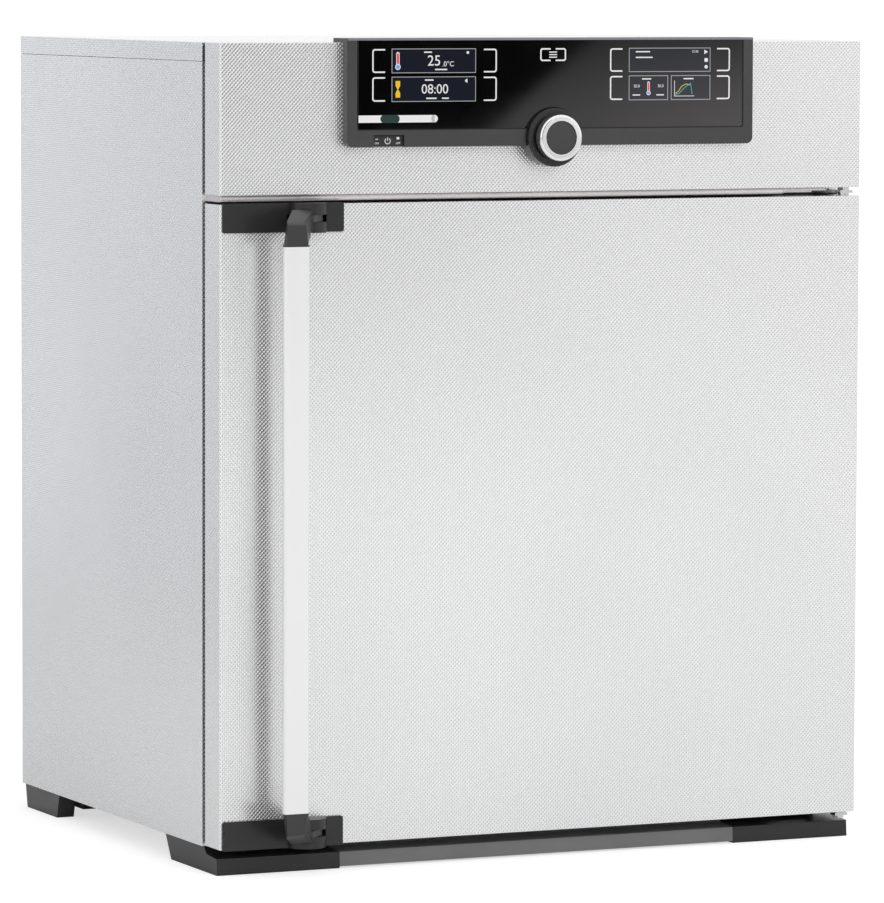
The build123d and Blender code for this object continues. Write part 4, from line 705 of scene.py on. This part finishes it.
def pale_floor(tone):
    """A wide floor that shows white to the camera and keeps the shadow."""
    shape = bmesh.new()
    bmesh.ops.create_grid(shape, x_segments=1, y_segments=1, size=120.0)
    made = bpy.data.meshes.new("floor")
    shape.to_mesh(made)
    shape.free()
    floor = mesh_object("floor", made)
    paint = bpy.data.materials.new("floor")
    paint.use_nodes = True
    tree = paint.node_tree
    tree.nodes.clear()
    output = tree.nodes.new("ShaderNodeOutputMaterial")
    path = tree.nodes.new("ShaderNodeLightPath")
    plain = node(tree, "ShaderNodeBsdfDiffuse", {"Color": tone})
    # The camera sees a grey floor, which takes the shadow, lifted to white by a glow
    shadow = node(tree, "ShaderNodeBsdfDiffuse", {"Color": (0.55, 0.55, 0.55)})
    lift = node(tree, "ShaderNodeEmission", {"Color": (1.0, 1.0, 1.0), "Strength": 0.62})
    shown = node(tree, "ShaderNodeAddShader", {0: shadow.outputs[0], 1: lift.outputs[0]})
    seen = path.outputs["Is Camera Ray"]
    both = node(tree, "ShaderNodeMixShader", {0: seen, 1: plain.outputs[0], 2: shown.outputs[0]})
    tree.links.new(both.outputs[0], output.inputs[0])
    made.materials.append(paint)


def studio_camera(settings):
    """The camera at the viewing angle of the photograph."""
    data = bpy.data.cameras.new("camera")
    data.sensor_width = 36.0
    data.lens = settings.lens
    data.clip_end = 400.0
    camera = bpy.data.objects.new("camera", data)
    bpy.context.scene.collection.objects.link(camera)
    yaw, pitch, roll = settings.camera_yaw, settings.camera_pitch, settings.camera_roll
    forward = Vector((math.sin(yaw) * math.cos(pitch), math.cos(yaw) * math.cos(pitch), -math.sin(pitch)))
    right = Vector((math.cos(yaw), -math.sin(yaw), 0.0))
    down = forward.cross(right)
    across = math.cos(roll) * right + math.sin(roll) * down
    up = math.sin(roll) * right - math.cos(roll) * down
    axes = Matrix((across, up, -forward)).transposed().to_4x4()
    camera.matrix_world = Matrix.Translation(settings.camera_place) @ axes
    bpy.context.scene.camera = camera


class INCUBATOR_OT_stage(Operator):
    """Camera, lamps, world, floor and the cards that reflections see"""

    bl_idname = "incubator.stage"
    bl_label = "Stage"

    def execute(self, context):
        settings = context.scene.incubator_stage
        context.scene.view_settings.view_transform = "Standard"
        studio_camera(settings)
        white_world(settings.ambient)
        pale_floor(settings.floor)
        lamp("key_lamp", place=(1.4, -4.6, 3.2), aim=(0.0, -0.3, 0.4), size=(2.6, 2.0), power=settings.key)
        lamp("fill_lamp", place=(-4.2, -1.6, 2.4), aim=(-0.35, 0.0, 0.45), size=(2.4, 2.4),
             power=settings.fill)
        glass_card()
        side_card(settings.flag)
        dark_card()
        return {"FINISHED"}


class INCUBATOR_OT_housing(Operator):
    """Outer sheets, inner sheets, edge profiles and trim strip"""

    bl_idname = "incubator.housing"
    bl_label = "Housing"

    def execute(self, context):
        sheets = context.scene.incubator_sheet
        steel = embossed_steel()
        coat(("side_panel_left", "side_panel_right", "top_cover", "fascia_panel", "door_shell"), steel)
        coat(("base_pan", "rear_panel", "electronics_tray", "rear_housing"), galvanised_steel())
        stainless = brushed_metal("brushed_stainless", sheets.stainless, 0.30)
        coat(("front_plate", "inner_chamber", "air_baffle"), stainless)
        coat(("latch_keepers", "door_inner_panel"), stainless)
        edge = moulded_plastic("edge_plastic", (0.022, 0.022, 0.024))
        coat(("front_edge_profile", "fascia_carrier"), edge)
        trim = brushed_metal("trim_strip_metal", (0.80, 0.765, 0.76), 0.28, (0.3, 1.0, 1.0), 3.0 * MM)
        coat(("fascia_trim_strip",), trim)
        return {"FINISHED"}


class INCUBATOR_OT_door(Operator):
    """Seals, insulation, hinge blocks, hinges and pins"""

    bl_idname = "incubator.door"
    bl_label = "Door and hinges"

    def execute(self, context):
        coat(("door_seal", "glass_seal"), soft_rubber("silicone", (0.32, 0.33, 0.34)))
        coat(("door_insulation", "chamber_insulation"), foam())
        coat(("hinge_arms", "hinge_pins"), brushed_metal("hinge_steel", (0.74, 0.74, 0.75), 0.22))
        coat(("door_hinge_blocks",), moulded_plastic("hinge_block_plastic", (0.05, 0.05, 0.052)))
        screw = brushed_metal("screw_steel", (0.62, 0.62, 0.63), 0.28)
        coat(("handle_pivot_pins", "fixing_screws", "encoder_plunger"), screw)
        return {"FINISHED"}


class INCUBATOR_OT_handle(Operator):
    """Brackets, lever arms and bar of the door handle"""

    bl_idname = "incubator.handle"
    bl_label = "Handle"

    def execute(self, context):
        tones = context.scene.incubator_plastic
        black = moulded_plastic("bracket_plastic", tones.bracket, 0.30)
        brackets = rounded_copy("bracket_mouldings", "handle_brackets", 0.5 * MM)
        finished(brackets, black, "outer_door")
        arms = rounded_copy("lever_arm_mouldings", "handle_arms", 1.6 * MM)
        lever = moulded_plastic("lever_plastic", scaled(tones.bracket, 2.0), 0.34)
        finished(arms, lever, "door_handle")
        bar = rounded_copy("handle_bar_extrusion", "handle_bar", 0.4 * MM)
        finished(bar, silver_bar(), "door_handle")
        self.painted_back_shade()
        return {"FINISHED"}

    def painted_back_shade(self):
        """A thin dark strip along the back of the bar, a little shorter than the bar: painted shade, so that
        the door reflects the bar's back as shaded.
        """
        share_of_width, short_by, thick = 0.56, 2 * MM, 0.3 * MM
        low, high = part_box("handle_bar")
        shape = bmesh.new()
        bmesh.ops.create_cube(shape, size=1.0)
        middle = (low + high) / 2
        width, height = share_of_width * (high.x - low.x), high.z - low.z - short_by
        place = Matrix.Translation((middle.x, high.y + thick / 2, middle.z))
        size = Matrix.Diagonal((width, thick, height, 1.0))
        bmesh.ops.transform(shape, matrix=place @ size, verts=shape.verts)
        made = bpy.data.meshes.new("bar_back_painted_shade")
        shape.to_mesh(made)
        shape.free()
        # Near-black: painted shade for the shade behind the bar
        shade_strip = moulded_plastic("back_shade_paint", (0.004, 0.004, 0.0045), 0.6)
        finished(mesh_object("bar_back_painted_shade", made), shade_strip, "door_handle")


class INCUBATOR_OT_control_panel(Operator):
    """Bezel, glass, power button and knob"""

    bl_idname = "incubator.control_panel"
    bl_label = "Control panel"

    def execute(self, context):
        tones = context.scene.incubator_plastic
        dark = moulded_plastic("bezel_plastic", tones.bezel, 0.34, soft_edge=1.6 * MM)
        coat(("cockpit_bezel",), dark)
        button = rounded_copy("power_button_cap", "power_button", 0.4 * MM)
        cap = moulded_plastic("button_plastic", (0.018, 0.018, 0.019), 0.45)
        finished(button, cap, "power_button")
        base = moulded_plastic("knob_base_plastic", scaled(tones.bezel, 0.35), 0.28, soft_edge=2.0 * MM)
        coat(("knob_base",), base)
        coat(("cockpit_glass",), panel_glass())
        coat(("display_left", "display_right"), moulded_plastic("display_housing", (0.02, 0.02, 0.022)))
        coat(("knob_ring",), polished_ring())
        coat(("knob_face",), moulded_plastic("knob_face_plastic", tones.knob, 0.40, 0.02, 0.0))
        coat(("control_housings",), moulded_plastic("housing_plastic", (0.05, 0.05, 0.055)))
        self.painted_top_highlight()
        self.glass_border()
        return {"FINISHED"}

    def painted_top_highlight(self):
        """A painted highlight along the top of the bezel: a lighter blue-grey strip where light from above
        catches its edge.
        """
        end_margin, height, radius = 0.6, 2.3, 0.5
        top = BEZEL_HIGH.z / MM
        left = max(BEZEL_LOW.x / MM, -PANEL_HALF_WIDTH) + end_margin
        right = min(BEZEL_HIGH.x / MM, PANEL_HALF_WIDTH) - end_margin
        edge = Marks("bezel_top_painted_highlight", BEZEL_LOW.y, 0.25 * MM)
        edge.box((left, right), (top - height, top), radius)
        # The strip's blue-grey tone is painted highlight
        edge.finish(moulded_plastic("top_highlight_paint", (0.185, 0.19, 0.215), 0.35), "cabinet")

    def glass_border(self):
        """The dark line in the place of the gap round the glass, and the glass that follows the knob."""
        gap_width, rim_width, steps = 1.1, 2.4, 40
        start = math.degrees(math.asin((GLASS_BOTTOM - KNOB_LEVEL) / KNOB_GAP_RADIUS))
        arc = [math.radians(180 - start - (180 - 2 * start) * step / steps) for step in range(steps + 1)]

        def round_knob(radius, turns):
            """Points over the top of the knob, from left to right."""
            return [(radius * math.cos(turn), KNOB_LEVEL + radius * math.sin(turn)) for turn in turns]

        line = [(-GLASS_HALF_WIDTH, GLASS_TOP), (-GLASS_HALF_WIDTH, GLASS_BOTTOM)]
        line += round_knob(KNOB_GAP_RADIUS, arc)
        line += [(GLASS_HALF_WIDTH, GLASS_BOTTOM), (GLASS_HALF_WIDTH, GLASS_TOP)]
        gap = Marks("glass_gap", BEZEL_LOW.y, 0.03 * MM)
        gap.stroke(line, gap_width)
        gap.finish(moulded_plastic("gap_black", (0.002, 0.002, 0.002), 0.7), "cabinet")
        rim = Marks("glass_rim", GLASS_FRONT, 0.02 * MM)
        rim.stroke(round_knob(KNOB_RIM_RADIUS, arc[1:-1]), rim_width)
        rim.finish(panel_glass(), "cabinet")


class INCUBATOR_OT_graphics(Operator):
    """Marks printed on the glass and what the displays show"""

    bl_idname = "incubator.graphics"
    bl_label = "Panel graphics"

    # Ends of the display windows, up and across
    upper = (832.6, 857.3)
    lower = (802.9, 828.2)
    left = (-184.9, -89.5)
    right = (88.9, 184.5)

    def execute(self, context):
        settings = context.scene.incubator_panel
        self.windows(settings)
        self.touch_marks(settings)
        self.readings(settings)
        self.symbols(settings)
        self.switch_marks(settings)
        return {"FINISHED"}

    def windows(self, settings):
        """Backgrounds and frames of the five windows."""
        # The lower right display has two windows, with a gap between them
        gap_start, gap_end = 134.4, 138.6
        spans = (
            (self.left, self.upper), (self.left, self.lower), (self.right, self.upper),
            ((self.right[0], gap_start), self.lower), ((gap_end, self.right[1]), self.lower),
        )
        back = Marks("display_windows", GLASS_FRONT, 0.3 * settings.print_depth)
        frames = Marks("display_frames", GLASS_FRONT, settings.print_depth)
        for x, z in spans:
            back.box(x, z, 1.2)
            frames.stroke(((x[0], z[0]), (x[1], z[0]), (x[1], z[1]), (x[0], z[1])),
                          settings.frame_stroke / MM, True)
        back.finish(lit_print("display_blue", settings.window, 0.85), "cabinet")
        frames.finish(lit_print("display_frame_grey", (0.36, 0.37, 0.40), 0.7), "cabinet")

    def touch_marks(self, settings):
        """White marks beside the displays, the menu mark and the white strip."""
        marks = Marks("touch_marks", GLASS_FRONT, settings.print_depth)
        width = settings.bracket_stroke / MM
        # The ends of each pair of brackets round the displays, and which way they open
        brackets = (
            ((-207.2, -192.7), "right"), ((-80.0, -65.1), "left"),
            ((66.4, 80.9), "right"), ((192.7, 208.1), "left"),
        )
        for (start, end), way in brackets:
            for z in (self.upper, self.lower):
                self.touch_bracket(marks, (start, end) if way == "right" else (end, start), z, width)
        # The menu mark between the displays: two brackets round three bars
        for side in (-1, 1):
            marks.stroke(
                ((side * 3.0, 844.9), (side * 13.0, 844.9), (side * 14.2, 846.2), (side * 14.2, 855.6),
                 (side * 13.0, 856.9), (side * 3.0, 856.9)),
                width,
            )
        for level in (848.2, 850.9, 853.6):
            marks.box((-4.6, 4.6), (level - 0.55, level + 0.55), 0.4)
        # The white strip at the lower left, round at its right end
        strip = (781.1, 788.7)
        marks.box((-222.6, -136.4), strip)
        marks.box((-140.2, -132.6), strip, 3.7)
        # The white print glows a little: painted light
        marks.finish(lit_print("white_print", settings.mark, 0.25), "cabinet")
        pill = Marks("strip_pill", GLASS_FRONT, 1.4 * settings.print_depth)
        pill.box((-198.0, -176.0), (780.7, 789.1), 4.1)
        pill.finish(lit_print("pill_green", (0.030, 0.055, 0.050), 0.3), "cabinet")

    def touch_bracket(self, marks, x, z, width):
        """A bracket with small round corners, from its closed side to its open one."""
        inward = math.copysign(2.0, x[1] - x[0])
        shut = x[0] + math.copysign(width / 2, inward)
        low, high = z[0] + width / 2, z[1] - width / 2
        marks.stroke(
            ((x[1], low), (shut + inward, low), (shut + 0.3 * inward, low + 0.6), (shut, low + 2.0),
             (shut, high - 2.0), (shut + 0.3 * inward, high - 0.6), (shut + inward, high), (x[1], high)),
            width,
        )

    def readings(self, settings):
        """Figures and small marks of the displays."""
        figures = Marks("display_figures", GLASS_FRONT, 1.2 * settings.print_depth)
        # Left displays: temperature, time left, short bars in the place of words, a dot and a loudspeaker
        figures.text("25", -137.0, 844.6, 15.5)
        figures.text(".0°C", -121.0, 841.4, 7.5)
        figures.text("08:00", -136.0, 815.2, 14.0)
        for x, z, length in ((-148.5, 853.9, 9.0), (-136.0, 835.9, 14.0), (-147.5, 825.0, 10.0),
                             (-146.0, 806.0, 12.0), (-128.0, 806.0, 8.0)):
            figures.box((x, x + length), (z - 0.7, z + 0.7), 0.5)
        figures.disc(-98.5, 853.4, 1.5)
        figures.outline(((-101.6, 823.6), (-98.9, 821.8), (-98.9, 826.4), (-101.6, 824.6)))
        # Right displays: time of day, bars, two set values, arrow, square and dot, and the graph's axes
        figures.text("12:30", 166.5, 853.6, 3.6)
        for x, z, length in ((96.5, 853.6, 17.0), (96.5, 847.6, 20.0), (104.0, 824.9, 11.0),
                             (153.0, 824.9, 12.0)):
            figures.box((x, x + length), (z - 0.65, z + 0.65), 0.5)
        figures.text("20.0", 97.8, 817.3, 4.2)
        figures.text("30.0", 126.0, 817.3, 4.2)
        figures.box((93.0, 102.0), (807.4, 808.6), 0.4)
        figures.box((121.0, 130.0), (807.4, 808.6), 0.4)
        figures.outline(((177.6, 850.8), (182.0, 853.2), (177.6, 855.6)))
        figures.box((177.8, 181.8), (842.6, 846.6), 0.8)
        figures.disc(179.8, 837.4, 1.9)
        figures.stroke(((142.5, 823.0), (142.5, 806.6), (166.0, 806.6)), 0.6)
        figures.finish(lit_print("display_figures_white", settings.mark, 0.8), "cabinet")

    def symbols(self, settings):
        """Coloured symbols of the displays."""
        depth = 1.5 * settings.print_depth
        pale = Marks("thermometer_tubes", GLASS_FRONT, 1.2 * settings.print_depth)
        red = Marks("thermometer_liquid", GLASS_FRONT, depth)
        blue = Marks("thermometer_bulbs", GLASS_FRONT, depth)
        for x, z, size in ((-178.2, 845.0, 1.0), (111.8, 815.0, 0.78)):
            pale.box((x - 1.9 * size, x + 1.9 * size), (z - 6.0 * size, z + 9.2 * size), 1.85 * size)
            pale.disc(x, z - 6.3 * size, 3.1 * size)
            red.box((x - 1.15 * size, x + 1.15 * size), (z - 3.4 * size, z + 7.8 * size), 1.1 * size)
            blue.disc(x, z - 6.3 * size, 2.1 * size)
        pale.finish(lit_print("display_pale", (0.70, 0.76, 0.84), 0.8), "cabinet")
        red.finish(lit_print("display_red", (0.95, 0.04, 0.035), 0.8), "cabinet")
        blue.finish(lit_print("display_light_blue", (0.10, 0.40, 0.80), 0.8), "cabinet")
        amber = Marks("timer_symbol", GLASS_FRONT, depth)
        # The two halves of an hourglass in the left display, and a line of the graph in the right one
        x, z = -178.2, 815.6
        amber.outline(((x - 2.6, z + 8.6), (x - 2.6, z + 3.6), (x - 0.6, z), (x + 0.6, z), (x + 2.6, z + 3.6),
                       (x + 2.6, z + 8.6)))
        amber.outline(((x - 0.6, z - 0.3), (x - 2.6, z - 3.8), (x - 2.6, z - 8.6), (x + 2.6, z - 8.6),
                       (x + 2.6, z - 3.8), (x + 0.6, z - 0.3)))
        amber.stroke(((143.4, 809.5), (147.0, 811.4), (150.6, 816.6), (156.0, 819.4), (160.6, 818.2)), 0.7)
        amber.finish(lit_print("display_amber", (0.86, 0.52, 0.03), 0.8), "cabinet")
        teal = Marks("graph_line", GLASS_FRONT, depth)
        teal.stroke(((143.4, 808.2), (148.0, 809.4), (152.4, 813.6), (157.0, 817.4), (161.6, 819.8),
                     (163.2, 808.6)), 0.7)
        teal.finish(lit_print("display_teal", (0.03, 0.46, 0.50), 0.8), "cabinet")

    def switch_marks(self, settings):
        """Marks on the power button."""
        marks = Marks("switch_marks", BUTTON_FRONT, settings.print_depth)
        x, z, stroke = -188.4, 762.0, 0.7
        marks.text("ON", x - 12.4, z - 2.4, 3.0)
        marks.text("OFF", x + 11.8, z - 2.4, 3.0)
        marks.arc(x, z, 3.0, 125, 415, stroke)
        marks.stroke(((x, z), (x, z + 4.0)), stroke)
        marks.box((-202.3, -199.3), (763.6, 764.3))
        marks.box((-178.2, -175.2), (763.6, 766.0))
        # The button's print glows a little: painted light
        marks.finish(lit_print("switch_print", settings.mark, 0.1), "power_button")


class INCUBATOR_OT_feet(Operator):
    """Feet and the bars between them"""

    bl_idname = "incubator.feet"
    bl_label = "Feet"

    def execute(self, context):
        tones = context.scene.incubator_plastic
        black = moulded_plastic("foot_plastic", tones.foot, 0.32)
        front = rounded_copy("front_foot_mouldings", "front_feet", 0.6 * MM)
        finished(front, black, "cabinet")
        lighter = moulded_plastic("rear_foot_plastic", scaled(tones.foot, 2.8), 0.30)
        rear = rounded_copy("rear_foot_mouldings", "rear_feet", 0.6 * MM)
        finished(rear, lighter, "cabinet")
        grey = moulded_plastic("foot_bar_plastic", tones.bar, 0.40)
        finished(rounded_copy("front_bar_profile", "front_bar", 0.5 * MM), grey, "cabinet")
        coat(("rear_cross_bar",), black)
        return {"FINISHED"}


class INCUBATOR_OT_chamber(Operator):
    """Inner glass door, shelves, baffle fan and probe"""

    bl_idname = "incubator.chamber"
    bl_label = "Chamber"

    def execute(self, context):
        wire = brushed_metal("shelf_wire", (0.70, 0.70, 0.71), 0.20)
        coat(("shelf_lower", "shelf_upper", "temperature_probe", "circulation_fan_rotor"), wire)
        coat(("glass_pane",), clear_glass())
        fitting = brushed_metal("fitting_steel", (0.68, 0.68, 0.69), 0.24)
        coat(("glass_fittings", "glass_hinge_brackets"), fitting)
        return {"FINISHED"}


class INCUBATOR_OT_cooling(Operator):
    """Cooling module, fans, power supply and boards"""

    bl_idname = "incubator.cooling"
    bl_label = "Cooling and electronics"

    def execute(self, context):
        aluminium = brushed_metal("heat_sink_aluminium", (0.60, 0.61, 0.63), 0.38)
        coat(("cold_side_heat_sink", "hot_side_heat_sink"), aluminium)
        coat(("peltier_modules",), ceramic())
        case = brushed_metal("case_metal", (0.48, 0.49, 0.50), 0.34)
        coat(("power_supply", "circulation_motor"), case)
        coat(("control_board",), circuit_board())
        fan = moulded_plastic("fan_plastic", (0.020, 0.020, 0.021), 0.46)
        coat(("exhaust_fan_frames", "exhaust_fan_rotor_left", "exhaust_fan_rotor_right"), fan)
        coat(("power_inlet",), moulded_plastic("inlet_plastic", (0.018, 0.018, 0.019), 0.44))
        return {"FINISHED"}


class INCUBATOR_PT_sidebar(Panel):
    """Sizes, tones and the steps that build the incubator"""

    bl_idname = "INCUBATOR_PT_sidebar"
    bl_label = "Cooled incubator"
    bl_space_type = "VIEW_3D"
    bl_region_type = "UI"
    bl_category = "Incubator"

    def draw(self, context):
        for group in (context.scene.incubator_sheet, context.scene.incubator_plastic,
                      context.scene.incubator_panel, context.scene.incubator_stage):
            box = self.layout.box()
            for name in group.__annotations__:
                box.prop(group, name)
        for step in steps:
            self.layout.operator(step.bl_idname)


settings_groups = {
    "incubator_sheet": IncubatorSheetSettings,
    "incubator_plastic": IncubatorPlasticSettings,
    "incubator_panel": IncubatorPanelSettings,
    "incubator_stage": IncubatorStageSettings,
}
steps = (
    INCUBATOR_OT_stage,
    INCUBATOR_OT_housing,
    INCUBATOR_OT_door,
    INCUBATOR_OT_handle,
    INCUBATOR_OT_control_panel,
    INCUBATOR_OT_graphics,
    INCUBATOR_OT_feet,
    INCUBATOR_OT_chamber,
    INCUBATOR_OT_cooling,
)


def register():
    """Register the classes and hang the settings on the scene."""
    for group in (*settings_groups.values(), *steps, INCUBATOR_PT_sidebar):
        bpy.utils.register_class(group)
    for name, group in settings_groups.items():
        setattr(bpy.types.Scene, name, PointerProperty(type=group))


def unregister():
    """Take the settings and the classes away again."""
    for name in settings_groups:
        delattr(bpy.types.Scene, name)
    for group in (INCUBATOR_PT_sidebar, *reversed(steps), *settings_groups.values()):
        bpy.utils.unregister_class(group)


def main():
    """Build the incubator."""
    register()
    bpy.ops.incubator.stage()
    bpy.ops.incubator.housing()
    bpy.ops.incubator.door()
    bpy.ops.incubator.handle()
    bpy.ops.incubator.control_panel()
    bpy.ops.incubator.graphics()
    bpy.ops.incubator.feet()
    bpy.ops.incubator.chamber()
    bpy.ops.incubator.cooling()


if __name__ == "__main__":
    main()
